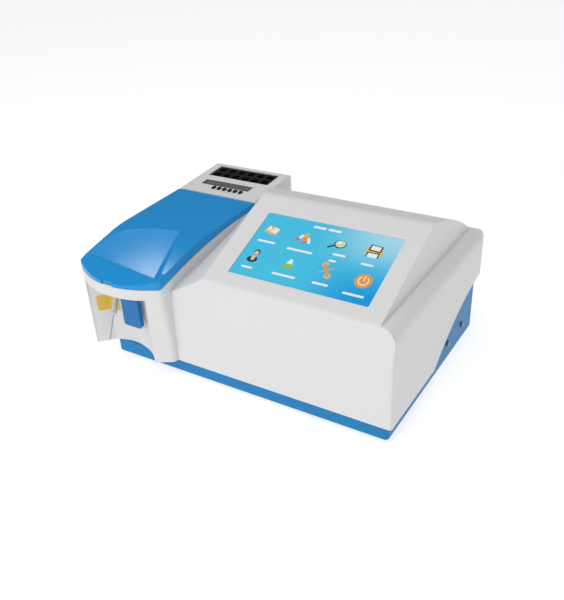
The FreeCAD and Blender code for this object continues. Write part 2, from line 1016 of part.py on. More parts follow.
def add_trigger_seat(shell):
    """Slot in the recess ceiling, the pin ribs above it, and the bore for the probe nozzle."""
    slot_x = (paddle_x - paddle_stem - slot_gap, paddle_x + paddle_stem + slot_gap)
    slot_y = (trigger_y - slot_half, trigger_y + slot_half)
    shell = shell.cut(box(*slot_x, *slot_y, recess_height - spare, recess_height + wall + spare / 10))
    low, high = recess_height + wall / 2, rim_front_height - wall / 2
    for side in (-1, 1):
        x = paddle_x + side * (trigger_pin_length / 2 - rib_thickness / 2)
        rib = box(x - rib_thickness / 2, x + rib_thickness / 2, *slot_y, low, high)
        shell = shell.fuse(rib)
    shell = shell.cut(trigger_pin())
    return shell.cut(rod(nozzle_radius + nozzle_fit, nozzle_straight, along_probe(0.0), probe_down))


def add_board_posts(shell):
    """Four posts under the tower top that the timer board is screwed to."""
    half = timer_post_size / 2
    for x in (timer_x0 + timer_post_inset, timer_x1 - timer_post_inset):
        for y in (timer_y0 + timer_post_inset, timer_y1 - timer_post_inset):
            post = box(x - half, x + half, y - half, y + half, -timer_post, -wall / 2)
            shell = shell.fuse(placed(post, on_tower))
    return shell


def add_screw_tabs(shell):
    """Tabs inside the base walls that take the side screws of the casing."""
    for side in (-1, 1):
        inner = base_right - base_wall - tab_gap if side > 0 else base_left + base_wall + tab_gap
        outer = right - wall / 2 if side > 0 else left + wall / 2
        for y in screw_ys:
            top = split_height(y + tab_half) + base_tongue + tab_half
            tab_x = sorted((inner, inner - side * tab_thickness))
            bridge_x = sorted((outer, inner - side * tab_thickness))
            tab_y = (y - tab_half, y + tab_half)
            tab = box(*tab_x, *tab_y, screw_height - tab_below, top)
            shell = shell.fuse(tab).fuse(box(*bridge_x, *tab_y, top - tab_bridge, top))
    return shell.cut(side_screws(0.0))


def side_screws(head):
    """Screws through the base walls into the casing tabs; head 0 gives only the shanks."""
    shapes = []
    for side in (-1, 1):
        wall_x = base_right if side > 0 else base_left
        for y in screw_ys:
            start = (wall_x, y, screw_height)
            reach = base_wall + tab_gap + tab_thickness
            screw = many_sided(screw_radius, screw_sides, reach, start, (-side, 0, 0))
            if head:
                cap = many_sided(screw_head_radius, 2 * screw_sides, head, start, (side, 0, 0))
                screw = screw.fuse(cap)
            shapes.append(screw)
    return Part.makeCompound(shapes)


def flow_cell_lid():
    """Blue cover shell with a sunk facet and a finger notch, hinged at the back."""
    body = lid_form(0.0)
    low, high = recess_height, tower_back_height
    limit = box(left, valley_x, front + lid_lip_wall, hinge_y - lid_knuckle - spare, low, high)
    hollow = lid_form(lid_wall).common(limit).cut(scoop_cut(lid_wall))
    body = body.cut(hollow).cut(scoop_cut(0.0))
    notch_x = valley_x - notch_from_right
    body = body.cut(
        box(notch_x - notch_width / 2, notch_x + notch_width / 2, front, front + notch_deep, low, high)
    )
    bore = rod(
        hinge_pin_radius + running_gap,
        tower_width - 2 * lid_wall,
        (left + lid_wall, hinge_y, hinge_z),
        (1, 0, 0),
    )
    body = body.cut(bore)
    clear = lug_radius + lug_swing_gap
    for x in lug_xs:
        x0 = x - lug_width / 2 - lug_side_gap
        x1 = x + lug_width / 2 + lug_side_gap
        body = body.cut(rod(clear, x1 - x0, (x0, hinge_y, hinge_z), (1, 0, 0)))
        body = body.cut(box(x0, x1, hinge_y - lug_slot, lid_back + spare, low, hinge_z))
        body = body.cut(box(x0, x1, hinge_y - lug_slot, hinge_y, low, hinge_z + clear))
    return body


def lid_top_z(back_reach):
    """Height of the lid's top line, as far back from the front as said."""
    if back_reach < lid_lip_back:
        return lid_lip_height - (lid_lip_back - back_reach) * lid_lip_slope
    rise = (lid_knee_height - lid_lip_height) / (lid_knee_back - lid_lip_back)
    return lid_lip_height + (back_reach - lid_lip_back) * rise


def lid_form(skin):
    """Lid body; with a skin it is the hollow, which runs out below."""
    drop = lid_runout if skin else 0.0
    low = rim_front_height + lid_gap - drop
    high = rim_height + lid_gap - drop
    knuckle = 0.0 if skin else lid_knuckle
    lip_run = (lid_lip_height - skin - low) / lid_lip_slope
    points = [
        (front + rim_front_back, low),
        (rim_knee_y, high),
        (lid_back, high),
        (lid_back, lid_top_height - skin),
        (front + lid_knee_back, lid_knee_height - skin),
        (front + lid_lip_back, lid_lip_height - skin),
        (front + lid_lip_back - lip_run, low),
    ]
    rounds = [rim_nose_round, rim_knee_round, knuckle, knuckle, lid_knee_round, lid_lip_round, 0]
    side = side_prism(points, rounds, left - spare, valley_x + spare)
    outline = tower_outline(0.0, skin)
    outline[3] = (outline[3][0], lid_back + spare)
    outline[4] = (outline[4][0], lid_back + spare)
    corner = max(tower_corner - skin, spare)
    rounds = [corner, bow_radius(skin), corner, 0, 0]
    return side.common(plan_prism(outline, rounds, low - spare, tower_back_height))


def scoop_wall(end_a, end_b, inward, skin):
    """Sloping wall of the sunk facet through two places on the lid's top line."""
    a, b = [
        vec(valley_x - side + inward[0] * -skin, front + reach + inward[1] * -skin, lid_top_z(reach) - skin)
        for side, reach in (end_a, end_b)
    ]
    inner = a.add(vec(inward[0], inward[1], -scoop_wall_slope))
    return half_space(a, b, inner)


def scoop_cut(skin):
    """Sunk facet with a hollow floor, cut off by a sloping wall in front and at the right.

    With a skin it is the larger form that keeps a wall under the facet.
    """
    slope = (lid_knee_height - lid_lip_height) / (lid_knee_back - lid_lip_back)
    radius = (scoop_reach ** 2 + scoop_depth ** 2) / (2 * scoop_depth)
    middle = vec(valley_x - scoop_middle[0], front + scoop_middle[1], 0)
    middle.z = lid_lip_height + (scoop_middle[1] - lid_lip_back) * slope
    normal = vec(0, -slope, 1)
    normal.normalize()
    center = middle.add(normal.multiply(radius - scoop_depth))
    ball = Part.makeSphere(radius + skin, center, vec(1, 0, 0))
    ball = ball.common(box(left - spare, valley_x + spare, front - spare, back, recess_height, sky))
    near = scoop_wall(scoop_corner, scoop_left_end, (0, 1), skin)
    aside = scoop_wall(scoop_corner, scoop_back_end, (-1, 0), skin)
    return ball.common(near).common(aside)


def lid_hinge_pin():
    length = lug_xs[1] - lug_xs[0] + lug_width + 2 * pin_overhang
    start = (lug_xs[0] - lug_width / 2 - pin_overhang, hinge_y, hinge_z)
    return rod(hinge_pin_radius, length, start, (1, 0, 0))


def base_tray():
    """Blue bottom tray; its walls stand inside the lower edge of the casing."""
    tray = plan_prism(
        rectangle(base_left, base_right, base_front, base_back), [base_corner] * 4, foot_height, sky
    )
    hollow = rectangle(
        base_left + base_wall, base_right - base_wall, base_front + base_wall, base_back - base_wall
    )
    tray = tray.cut(plan_prism(hollow, [base_inner_corner] * 4, base_floor, sky + spare))
    tray = tray.common(below_split(base_tongue, left - spare, right + spare))
    clear = recess_cut(wall + seam_gap)
    tray = tray.cut(clear.common(box(left, right, front, back, casing_bottom - lid_gap, sky)))
    tray = tray.cut(
        box(
            plate_left + plate_lap,
            plate_right - plate_lap,
            base_back - base_wall - spare,
            base_back + spare,
            plate_bottom + plate_lap,
            plate_top - plate_lap,
        )
    )
    for x, y, top in board_posts + supply_posts:
        start = (x, y, base_floor - post_root)
        tray = tray.fuse(
            many_sided(post_radius, post_sides, top - base_floor + post_root, start, (0, 0, 1))
        )
    start = (waste_x, base_back - base_wall - spare, waste_height)
    hole = rod(fitting_radius, base_wall + 2 * spare, start, (0, 1, 0))
    return tray.cut(hole).cut(side_screws(0.0))


def rubber_feet():
    feet = []
    for x in (base_left + foot_inset, base_right - foot_inset):
        for y in (base_front + foot_inset, base_back - foot_inset):
            feet.append(many_sided(foot_radius, foot_sides, foot_height, (x, y, 0.0), (0, 0, 1)))
    return Part.makeCompound(feet)


def aspiration_trigger():
    """Paddle that hangs from its pin through the slot in the recess ceiling."""
    half = paddle_width / 2
    corners = rectangle(paddle_x - half, paddle_x + half, paddle_bottom, recess_height - paddle_gap)
    rounds = [paddle_corner, paddle_corner, paddle_corner / 2, paddle_corner / 2]
    y0 = trigger_y - paddle_thickness / 2
    body = front_prism(corners, rounds, y0, y0 + paddle_thickness)
    stem_x = (paddle_x - paddle_stem, paddle_x + paddle_stem)
    stem_y = (trigger_y - stem_thickness / 2, trigger_y + stem_thickness / 2)
    body = body.fuse(box(*stem_x, *stem_y, recess_height - stem_lap, trigger_pin_height))
    start = (stem_x[0], trigger_y, trigger_pin_height)
    body = body.fuse(rod(trigger_knuckle, 2 * paddle_stem, start, (1, 0, 0)))
    return body.cut(rod(trigger_pin_radius + running_gap, 2 * paddle_stem, start, (1, 0, 0)))


def trigger_pin():
    start = (paddle_x - trigger_pin_length / 2, trigger_y, trigger_pin_height)
    return rod(trigger_pin_radius, trigger_pin_length, start, (1, 0, 0))


def trigger_switch():
    """Small microswitch on the recess ceiling, just behind the trigger knuckle."""
    size_x, size_y, size_z = microswitch_size
    button_x, button_y, button_z = microswitch_button
    z0 = recess_height + wall
    y0 = trigger_y + microswitch_gap
    body = box(paddle_x - size_x / 2, paddle_x + size_x / 2, y0, y0 + size_y, z0, z0 + size_z)
    middle = z0 + size_z / 2
    button = box(
        paddle_x - button_x / 2,
        paddle_x + button_x / 2,
        y0 - button_y,
        y0,
        middle - button_z / 2,
        middle + button_z / 2,
    )
    return body.fuse(button)


def probe_nozzle():
    """Sleeve that widens towards its end and holds the thin steel tube."""
    sides = nozzle_sides
    sleeve = many_sided(nozzle_wide_radius, sides, nozzle_collar, along_probe(-nozzle_collar), probe_down)
    sleeve = sleeve.fuse(
        many_sided(nozzle_radius, sides, nozzle_straight, along_probe(0.0), probe_down)
    )
    start = along_probe(nozzle_straight)
    sleeve = sleeve.fuse(
        many_sided(nozzle_radius, sides, nozzle_taper, start, probe_down, nozzle_wide_radius)
    )
    start = along_probe(nozzle_straight + nozzle_taper)
    sleeve = sleeve.fuse(
        many_sided(nozzle_wide_radius, sides, nozzle_tip, start, probe_down, nozzle_tip_radius)
    )
    length = nozzle_collar + nozzle_straight + nozzle_taper + nozzle_tip
    return sleeve.cut(rod(probe_tube_radius, length, along_probe(-nozzle_collar), probe_down))


def probe_tube():
    start = along_probe(-probe_behind)
    length = probe_length + probe_behind
    tube = rod(probe_tube_radius, length, start, probe_down)
    return tube.cut(rod(probe_tube_radius / 2, length, start, probe_down))


def touch_glass():
    return placed(glass_slab(0.0, -glass_depth - glass_thickness, -glass_depth), on_panel)


def display_module():
    """Display with a driver board on its back, held against the panel's inside."""
    top = -glass_depth - glass_thickness
    reach = display_margin
    low = top - display_thickness
    body = box(
        screen_x0 - reach, screen_x1 + reach, screen_up_panel - reach, screen_y1 + reach, low, top
    )
    inset_x, inset_y = driver_inset
    board = box(
        screen_x0 + inset_x,
        screen_x1 - inset_x,
        screen_up_panel + inset_y,
        screen_y1 - inset_y,
        low - driver_thickness,
        low,
    )
    return placed(body.fuse(board), on_panel)


def incubator_block():
    """Heated block with two rows of wells, held from below by its flange."""
    x0 = incubator_x - incubator_width / 2 + block_gap
    x1 = incubator_x + incubator_width / 2 - block_gap
    y0, y1 = incubator_y0 + block_gap, incubator_y1 - block_gap
    top = -incubator_sink
    body = box(x0, x1, y0, y1, top - incubator_height, top)
    flange = box(
        x0 - incubator_flange,
        x1 + incubator_flange,
        y0 - incubator_flange,
        y1 + incubator_flange_back,
        -wall - flange_thickness,
        -wall,
    )
    body = body.fuse(flange)
    for row in range(well_rows):
        for column in range(well_columns):
            x = incubator_x + (column - (well_columns - 1) / 2) * well_pitch
            y = (y0 + y1) / 2 + (row - (well_rows - 1) / 2) * well_row_pitch
            start = (x, y, top - well_deep)
            body = body.cut(many_sided(well_radius, well_sides, well_deep, start, (0, 0, 1)))
    return placed(body, on_tower)


def incubator_heater():
    top = -incubator_sink - incubator_height
    pad = box(
        incubator_x - incubator_width / 2 + heater_inset,
        incubator_x + incubator_width / 2 - heater_inset,
        incubator_y0 + heater_inset,
        incubator_y1 - heater_inset,
        top - heater_thickness,
        top,
    )
    return placed(pad, on_tower)


def timer_window():
    x0 = window_x - window_width / 2 + window_gap
    x1 = window_x + window_width / 2 - window_gap
    y0, y1 = window_y0 + window_gap, window_y1 - window_gap
    pane = box(x0, x1, y0, y1, -wall, -window_sink)
    lip = window_lip
    flange = box(x0 - lip, x1 + lip, y0 - lip, y1 + lip, -wall - window_lip_thickness, -wall)
    return placed(pane.fuse(flange), on_tower)


def timer_board():
    """Circuit board with the number display and one small switch under each key."""
    top = -timer_post
    board = box(timer_x0, timer_x1, timer_y0, timer_y1, top - board_thickness, top)
    middle = (window_y0 + window_y1) / 2
    half_x, half_y = digits_half
    high = -wall - digits_gap
    digits = box(window_x - half_x, window_x + half_x, middle - half_y, middle + half_y, top, high)
    board = board.fuse(digits)
    half = switch_size / 2
    high = key_floor - key_travel - switch_gap
    for x in key_xs:
        y = -key_from_back
        board = board.fuse(box(x - half, x + half, y - half, y + half, top, high))
    return placed(board, on_tower)


def timer_key(index):
    """Oval key cap; its flange under the wall keeps it from falling out."""
    cap = oval_prism(key_width, key_length, key_floor, key_rise)
    half_x, half_y = key_width / 2 + key_lip, key_length / 2 + key_lip
    high = -wall - running_gap
    key = cap.fuse(box(-half_x, half_x, -half_y, half_y, high - key_flange, high))
    key.translate(vec(key_xs[index], -key_from_back, 0))
    return placed(key, on_tower)


def printer_door():
    """Curved door on the slope, with a knuckle at its back edge and ears for the roller."""
    skin = main_form(0.0, valley_x, right).cut(main_form(printer_door_thickness, valley_x, right))
    plate = skin.common(printer_opening(printer_gap))
    x0, x1 = door_x
    reach = printer_rear - door_y - door_sweep_gap
    sweep = rod(reach, x1 - x0, (x0, door_y, door_z), (1, 0, 0))
    plate = plate.common(sweep.fuse(box(x0, x1, front, door_y, brow_height, sky)))
    body = plate.fuse(rod(printer_knuckle, x1 - x0, (x0, door_y, door_z), (1, 0, 0)))
    high = slope_height(platen_y + ear_half) - printer_door_thickness / 2
    for x in (platen_x0 - ear_gap - ear_thickness, platen_x1 + ear_gap):
        ear_y = (platen_y - ear_half, platen_y + ear_half)
        body = body.fuse(box(x, x + ear_thickness, *ear_y, platen_z - ear_half, high))
    start = (x0, platen_y, platen_z)
    axle = rod(platen_axle + running_gap, x1 - x0, start, (1, 0, 0))
    pin = rod(hinge_pin_radius + running_gap, x1 - x0, (x0, door_y, door_z), (1, 0, 0))
    return body.cut(axle).cut(pin)


def printer_door_pin():
    start = (printer_left - cradle_wall, door_y, door_z)
    return rod(hinge_pin_radius, printer_width + 2 * cradle_wall, start, (1, 0, 0))


def platen_roller():
    body = rod(platen_radius, platen_length, (platen_x0, platen_y, platen_z), (1, 0, 0))
    overhang = ear_thickness + ear_gap
    start = (platen_x0 - overhang, platen_y, platen_z)
    return body.fuse(rod(platen_axle, platen_length + 2 * overhang, start, (1, 0, 0)))


def paper_cradle():
    """Bucket under the door; its rim lies against the inside of the slope."""
    x0, x1 = printer_left, printer_left + printer_width
    y0, y1 = printer_y0, printer_rear
    low = cradle_floor - cradle_wall
    under = main_form(wall, valley_x, right)
    rim = under.cut(main_form(wall + cradle_rim_thickness, valley_x, right))
    lap = cradle_rim
    rim = rim.common(box(x0 - lap, x1 + lap, y0 - lap, y1 + lap, low, sky))
    lap = cradle_wall
    walls = under.common(box(x0 - lap, x1 + lap, y0 - lap, y1 + lap, low, sky))
    bucket = rim.fuse(walls).cut(box(x0, x1, y0, y1, cradle_floor, sky))
    return bucket.cut(printer_door_pin())


def print_head():
    """Bar with the heating line, on the front wall of the cradle."""
    y0 = printer_y0
    y1 = y0 + head_thickness
    body = box(platen_x0, platen_x1, y0, y1, platen_z - head_below, platen_z + head_thickness)
    half = platen_radius / 2
    return body.fuse(box(platen_x0, platen_x1, y1, y1 + head_line, platen_z - half, platen_z + half))


def paper_spindle():
    return rod(spindle_radius, printer_width, (printer_left, roll_y, roll_z), (1, 0, 0))


def paper_roll():
    middle = printer_left + printer_width / 2
    start = (middle - paper_width / 2, roll_y, roll_z)
    roll = rod(paper_radius, paper_width, start, (1, 0, 0))
    return roll.cut(rod(spindle_radius + running_gap, paper_width, start, (1, 0, 0)))


def around(x, half_x, half_z, y0, y1):
    """Upright block centred on a place of the rear plate."""
    return box(x - half_x, x + half_x, y0, y1, socket_height - half_z, socket_height + half_z)


def rear_panel():
    """Steel plate behind the base's rear window, with a cut-out for each fitting."""
    plate = box(plate_left, plate_right, plate_y0, plate_y1, plate_bottom, plate_top)
    through = (plate_y0 - spare, plate_y1 + spare)
    cuts = ((inlet_x, inlet_half), (switch_x, switch_half), (serial_x, serial_half), (usb_x, usb_half))
    for x, half in cuts:
        plate = plate.cut(around(x, *half, *through))
    for x, radius in ((fuse_x, fuse_radius), (fan_x, fan_bore)):
        start = (x, through[0], socket_height)
        plate = plate.cut(rod(radius, through[1] - through[0], start, (0, 1, 0)))
    return plate


def power_inlet():
    """Three-pin inlet with its open socket and flat pins."""
    half_x, half_z = inlet_half
    rim = inlet_rim
    body = around(inlet_x, half_x, half_z, plate_y1 - inlet_behind, plate_y1)
    body = body.fuse(around(inlet_x, half_x + rim, half_z + rim, plate_y1, plate_y1 + rim))
    socket = around(
        inlet_x, half_x - rim, half_z - rim, plate_y1 - inlet_deep, plate_y1 + rim + spare
    )
    body = body.cut(socket)
    for x, z in inlet_pins:
        pin_x, pin_z = inlet_pin_half
        pin = around(inlet_x + x, pin_x, pin_z, plate_y1 - inlet_deep - spare, plate_y1 - inlet_pin_sink)
        pin.translate(vec(0, 0, z))
        body = body.fuse(pin)
    return body


def switch_body():
    half_x, half_z = switch_half
    rim = switch_rim
    body = around(switch_x, half_x, half_z, plate_y1 - switch_behind, plate_y1)
    body = body.fuse(around(switch_x, half_x + rim, half_z + rim, plate_y1, plate_y1 + rim))
    body = body.cut(
        around(
            switch_x,
            half_x - switch_inner[0],
            half_z - switch_inner[1],
            plate_y1 - switch_deep,
            plate_y1 + rim + spare,
        )
    )
    return body.cut(rocker_axle(running_gap, half_x))


def rocker_axle(gap, half_x):
    start = (switch_x - half_x, rocker_y, socket_height)
    return rod(rocker_axle_radius + gap, 2 * half_x, start, (1, 0, 0))


def switch_rocker():
    """Rocker resting on its off side."""
    half_x = switch_half[0] - switch_inner[0] - rocker_side_gap
    y, z = rocker_y, socket_height
    points = [
        (y - rocker_rear, z - rocker_half_height),
        (y + rocker_front, z - rocker_half_height),
        (y + rocker_waist, z),
        (y + rocker_front, z + rocker_half_height),
        (y - rocker_rear, z + rocker_half_height),
    ]
    corner = rocker_corner
    rounds = [corner, corner, rocker_dish, corner, corner]
    body = side_prism(points, rounds, switch_x - half_x, switch_x + half_x)
    body = body.fuse(rocker_axle(0.0, switch_half[0] - seam_gap))
    body.rotate(vec(switch_x, y, z), vec(1, 0, 0), -rocker_throw / 2)
    return body


def fuse_holder():
    """Screw-in fuse holder with a slotted cap."""
    body = rod(fuse_radius, fuse_behind, (fuse_x, plate_y1 - fuse_behind, socket_height), (0, 1, 0))
    start = (fuse_x, plate_y1, socket_height)
    body = body.fuse(rod(fuse_radius + fuse_cap, fuse_cap_length, start, (0, 1, 0)))
    half_x, half_z, deep = fuse_slot
    face = plate_y1 + fuse_cap_length
    return body.cut(around(fuse_x, half_x, half_z, face - deep, face + spare))


def serial_port():
    """Nine-pin socket with its D-shaped metal shell and two six-sided studs."""
    half_x, half_z = serial_half
    flange_x, flange_z, flange_y = serial_flange
    wide, narrow, half = serial_shell
    body = around(serial_x, half_x, half_z, plate_y1 - serial_behind, plate_y1)
    body = body.fuse(around(serial_x, flange_x, flange_z, plate_y1, plate_y1 + flange_y))
    z = socket_height
    outer = [
        (serial_x - narrow, z - half),
        (serial_x + narrow, z - half),
        (serial_x + wide, z + half),
        (serial_x - wide, z + half),
    ]
    face = plate_y1 + serial_shell_length
    shell = front_prism(outer, [0] * 4, plate_y1, face)
    inner = inset_points(outer, [serial_shell_wall] * 4)
    body = body.fuse(shell).cut(front_prism(inner, [0] * 4, plate_y1 + flange_y, face + spare))
    for side in (-1, 1):
        start = (serial_x + side * serial_stud_x, plate_y1, z)
        stud = many_sided(serial_stud, post_sides, serial_stud_length, start, (0, 1, 0))
        body = body.fuse(stud)
    return body


def usb_port():
    """Square data socket."""
    half_x, half_z = usb_half
    rim, rim_y = usb_rim
    inner_x, inner_z = half_x - usb_wall, half_z - usb_wall
    body = around(usb_x, half_x, half_z, plate_y1 - usb_behind, plate_y1)
    body = body.fuse(around(usb_x, half_x + rim, half_z + rim, plate_y1, plate_y1 + rim_y))
    body = body.cut(around(usb_x, inner_x, inner_z, plate_y1 - usb_deep, plate_y1 + rim_y + spare))
    return body.fuse(around(usb_x, *usb_tongue, plate_y1 - usb_deep - spare, plate_y1 - seam_gap))


def fan_frame():
    """Square fan housing behind the plate, with three struts to the motor seat."""
    half = fan_size / 2
    y0 = plate_y0 - fan_depth
    start = (fan_x, y0, socket_height)
    corners = rectangle(fan_x - half, fan_x + half, socket_height - half, socket_height + half)
    body = front_prism(corners, [fan_corner] * 4, y0, plate_y0)
    body = body.cut(rod(fan_bore, fan_depth, start, (0, 1, 0)))
    seat = rod(fan_hub, fan_seat, start, (0, 1, 0))
    strut_x = (fan_x - fan_strut / 2, fan_x + fan_strut / 2)
    for i in range(fan_strut_count):
        high = socket_height + fan_bore + spare
        strut = box(*strut_x, y0, y0 + fan_seat, socket_height, high)
        strut.rotate(vec(*start), vec(0, 1, 0), 360.0 / fan_strut_count * (i + 0.5))
        seat = seat.fuse(strut)
    return body.fuse(seat).fuse(rod(fan_shaft, fan_depth - 2 * fan_strut, start, (0, 1, 0)))


def fan_rotor():
    y0 = plate_y0 - fan_depth + fan_seat + fan_side_gap
    y1 = plate_y0 - 2 * fan_side_gap
    start = (fan_x, y0, socket_height)
    hub = rod(fan_hub, y1 - y0, start, (0, 1, 0))
    thick, chord = fan_blade
    for i in range(fan_blade_count):
        blade = box(
            -thick / 2, thick / 2, -chord / 2, chord / 2, fan_hub - spare, fan_bore - fan_tip_gap
        )
        blade.rotate(vec(0, 0, 0), vec(0, 0, 1), fan_blade_turn)
        blade.rotate(vec(0, 0, 0), vec(0, 1, 0), 360.0 / fan_blade_count * i)
        blade.translate(vec(fan_x, (y0 + y1) / 2, socket_height))
        hub = hub.fuse(blade)
    bore = fan_depth - 2 * fan_strut - fan_seat
    return hub.cut(rod(fan_shaft + running_gap, bore, start, (0, 1, 0)))


def fan_guard():
    """Guard of rings and spokes over the fan opening."""
    wire = guard_wire
    guard = None
    for radius in guard_rings:
        start = (fan_x, plate_y1 + wire, socket_height)
        ring = many_sided(radius + wire / 2, guard_ring_sides, wire, start, (0, 1, 0))
        ring = ring.cut(many_sided(radius - wire / 2, guard_ring_sides, wire, start, (0, 1, 0)))
        guard = guard.fuse(ring) if guard else ring
    inner = guard_rings[0] - wire / 2
    for i in range(guard_spokes):
        spoke = box(-wire, wire, plate_y1, plate_y1 + 2 * wire, inner, guard_reach)
        spoke.rotate(vec(0, plate_y1, 0), vec(0, 1, 0), 360.0 / guard_spokes * (i + 0.5))
        spoke.translate(vec(fan_x, 0, socket_height))
        guard = guard.fuse(spoke)
    return guard


def waste_fitting():
    """Barbed outlet for the waste tube."""
    inside = base_back - base_wall
    start = (waste_x, inside - fitting_flange_thickness, waste_height)
    body = many_sided(
        fitting_radius + fitting_flange, post_sides, fitting_flange_thickness, start, (0, 1, 0)
    )
    neck = base_wall + spare
    body = body.fuse(rod(fitting_radius, neck, (waste_x, inside, waste_height), (0, 1, 0)))
    wide, narrow, length = fitting_barb
    face = (waste_x, inside + neck, waste_height)
    body = body.fuse(many_sided(wide, fitting_sides, length, face, (0, 1, 0), narrow))
    reach = fitting_flange_thickness + neck + length
    return body.cut(rod(fitting_bore, reach, start, (0, 1, 0)))


def bay_frame():
    """Folded sheet bridge that carries the pump and the flow cell."""
    low = frame_height - frame_sheet
    frame_y = (frame_front, frame_back)
    body = box(frame_left, frame_right, *frame_y, low, frame_height)
    window_y = (frame_front + frame_window_inset, frame_back - frame_window_inset)
    window_z = (base_floor + frame_window_low, frame_height - frame_window_high)
    for x, side in ((frame_left, 1), (frame_right - frame_sheet, -1)):
        leg = box(x, x + frame_sheet, *frame_y, base_floor, frame_height)
        middle = x + frame_sheet / 2
        flange_x = sorted((middle, middle + side * frame_flange))
        flange = box(*flange_x, *frame_y, base_floor, base_floor + frame_sheet)
        window = box(x - spare, x + frame_sheet + spare, *window_y, *window_z)
        body = body.fuse(leg).fuse(flange).cut(window)
    start = (pump_x, pump_y, low - spare)
    hole = rod(shaft_radius + 2 * shaft_clear, frame_sheet + 2 * spare, start, (0, 0, 1))
    return body.cut(hole)


def pump_motor():
    top = frame_height - frame_sheet
    body = rod(motor_radius, motor_length, (pump_x, pump_y, top - motor_length), (0, 0, 1))
    start = (pump_x, pump_y, top - motor_bore)
    return body.cut(rod(shaft_radius + running_gap, motor_bore, start, (0, 0, 1)))


def pump_head():
    """Block with the round track that the tube is pressed against."""
    half = pump_size / 2
    corners = rectangle(pump_x - half, pump_x + half, pump_y - half, pump_y + half)
    top = frame_height + pump_height
    body = plan_prism(corners, [pump_corner] * 4, frame_height, top)
    floor_z = frame_height + pump_floor
    pocket = rod(pump_pocket, pump_height, (pump_x, pump_y, floor_z), (0, 0, 1))
    mouth_x = (pump_x - pump_pocket, pump_x + pump_pocket)
    mouth = box(*mouth_x, pump_y - half - spare, pump_y, floor_z, top + spare)
    start = (pump_x, pump_y, frame_height - spare)
    hole = rod(shaft_radius + shaft_clear, pump_floor + 2 * spare, start, (0, 0, 1))
    return body.cut(pocket).cut(mouth).cut(hole)


def roller_spot(index):
    angle = math.radians(90.0 + 360.0 / roller_count * index)
    return pump_x + roller_orbit * math.cos(angle), pump_y + roller_orbit * math.sin(angle)


rotor_low = frame_height + pump_floor + rotor_gap
roller_low = rotor_low + rotor_disc + roller_end_gap
rotor_top = roller_low + roller_length + roller_end_gap


def pump_rotor():
    """Two discs, the roller pins between them, the shaft, and a screw cap on top."""
    body = rod(rotor_radius, rotor_disc, (pump_x, pump_y, rotor_low), (0, 0, 1))
    body = body.fuse(rod(rotor_radius, rotor_disc, (pump_x, pump_y, rotor_top), (0, 0, 1)))
    hub = rotor_top + rotor_disc + rotor_cap - rotor_low
    body = body.fuse(rod(rotor_hub, hub, (pump_x, pump_y, rotor_low), (0, 0, 1)))
    start_z = frame_height - frame_sheet - shaft_length
    shaft = rod(shaft_radius, rotor_low + rotor_disc - start_z, (pump_x, pump_y, start_z), (0, 0, 1))
    body = body.fuse(shaft)
    for i in range(roller_count):
        start = (*roller_spot(i), rotor_low + rotor_disc / 2)
        body = body.fuse(rod(roller_pin, rotor_top - rotor_low, start, (0, 0, 1)))
    return body


def pump_roller(index):
    start = (*roller_spot(index), roller_low)
    roller = rod(roller_radius, roller_length, start, (0, 0, 1))
    return roller.cut(rod(roller_pin + running_gap, roller_length, start, (0, 0, 1)))


def pump_tube():
    """Soft tube bent round the track, with both ends to the front."""
    z = frame_height + tube_rise
    left_x, right_x = pump_x - tube_orbit, pump_x + tube_orbit
    end_y = pump_y - pump_size / 2 - tube_overhang
    bend = [vec(left_x, pump_y, z), vec(pump_x, pump_y + tube_orbit, z), vec(right_x, pump_y, z)]
    path = Part.Wire(
        [
            Part.makeLine(vec(left_x, end_y, z), bend[0]),
            Part.Arc(*bend).toShape(),
            Part.makeLine(bend[2], vec(right_x, end_y, z)),
        ]
    )
    ring = []
    for i in range(tube_sides):
        angle = 2 * math.pi * i / tube_sides
        ring.append(vec(left_x + tube_radius * math.cos(angle), end_y, z + tube_radius * math.sin(angle)))
    return path.makePipeShell([Part.makePolygon(ring + ring[:1])], True, False)


def flow_cell_block():
    """Aluminium block that holds the cell in the light beam."""
    half = cell_block_size / 2
    corners = rectangle(cell_x - half, cell_x + half, beam_y - half, beam_y + half)
    top = frame_height + cell_block_height
    body = plan_prism(corners, [cell_block_corner] * 4, frame_height, top)
    seat = cell_size / 2 + cell_seat_gap
    seat_x = (cell_x - seat, cell_x + seat)
    body = body.cut(
        box(*seat_x, beam_y - seat, beam_y + seat, frame_height + cell_floor, top + spare)
    )
    start = (cell_x - half - spare, beam_y, beam_height)
    body = body.cut(rod(beam_radius, cell_block_size + 2 * spare, start, (1, 0, 0)))
    start = (cell_x + half - lens_seat, beam_y, beam_height)
    body = body.cut(rod(lens_radius, lens_seat + spare, start, (1, 0, 0)))
    return body.cut(rod(diode_radius, diode_length, (cell_x - half, beam_y, beam_height), (1, 0, 0)))


def flow_cell():
    half = cell_size / 2
    z0 = frame_height + cell_floor
    top = z0 + cell_length
    body = box(cell_x - half, cell_x + half, beam_y - half, beam_y + half, z0, top)
    for side in (-1, 1):
        start = (cell_x + side * cell_channel_x, beam_y, top - cell_channel_deep)
        body = body.cut(rod(cell_channel, cell_channel_deep, start, (0, 0, 1)))
    return body


def detector_board():
    """Small board with the light detector, on the left face of the cell block."""
    x1 = cell_x - cell_block_size / 2
    low = frame_height + detector_margin
    high = frame_height + cell_block_height - detector_margin
    board_span = (beam_y - detector_half, beam_y + detector_half)
    board = box(x1 - board_thickness, x1, *board_span, low, high)
    board = board.fuse(rod(diode_radius, diode_length, (x1, beam_y, beam_height), (1, 0, 0)))
    size_x, size_y, size_z = detector_chip
    z0 = low + diode_length
    chip = box(x1 - size_x, x1 - spare, beam_y - size_y / 2, beam_y + size_y / 2, z0, z0 + size_z)
    return board.fuse(chip)


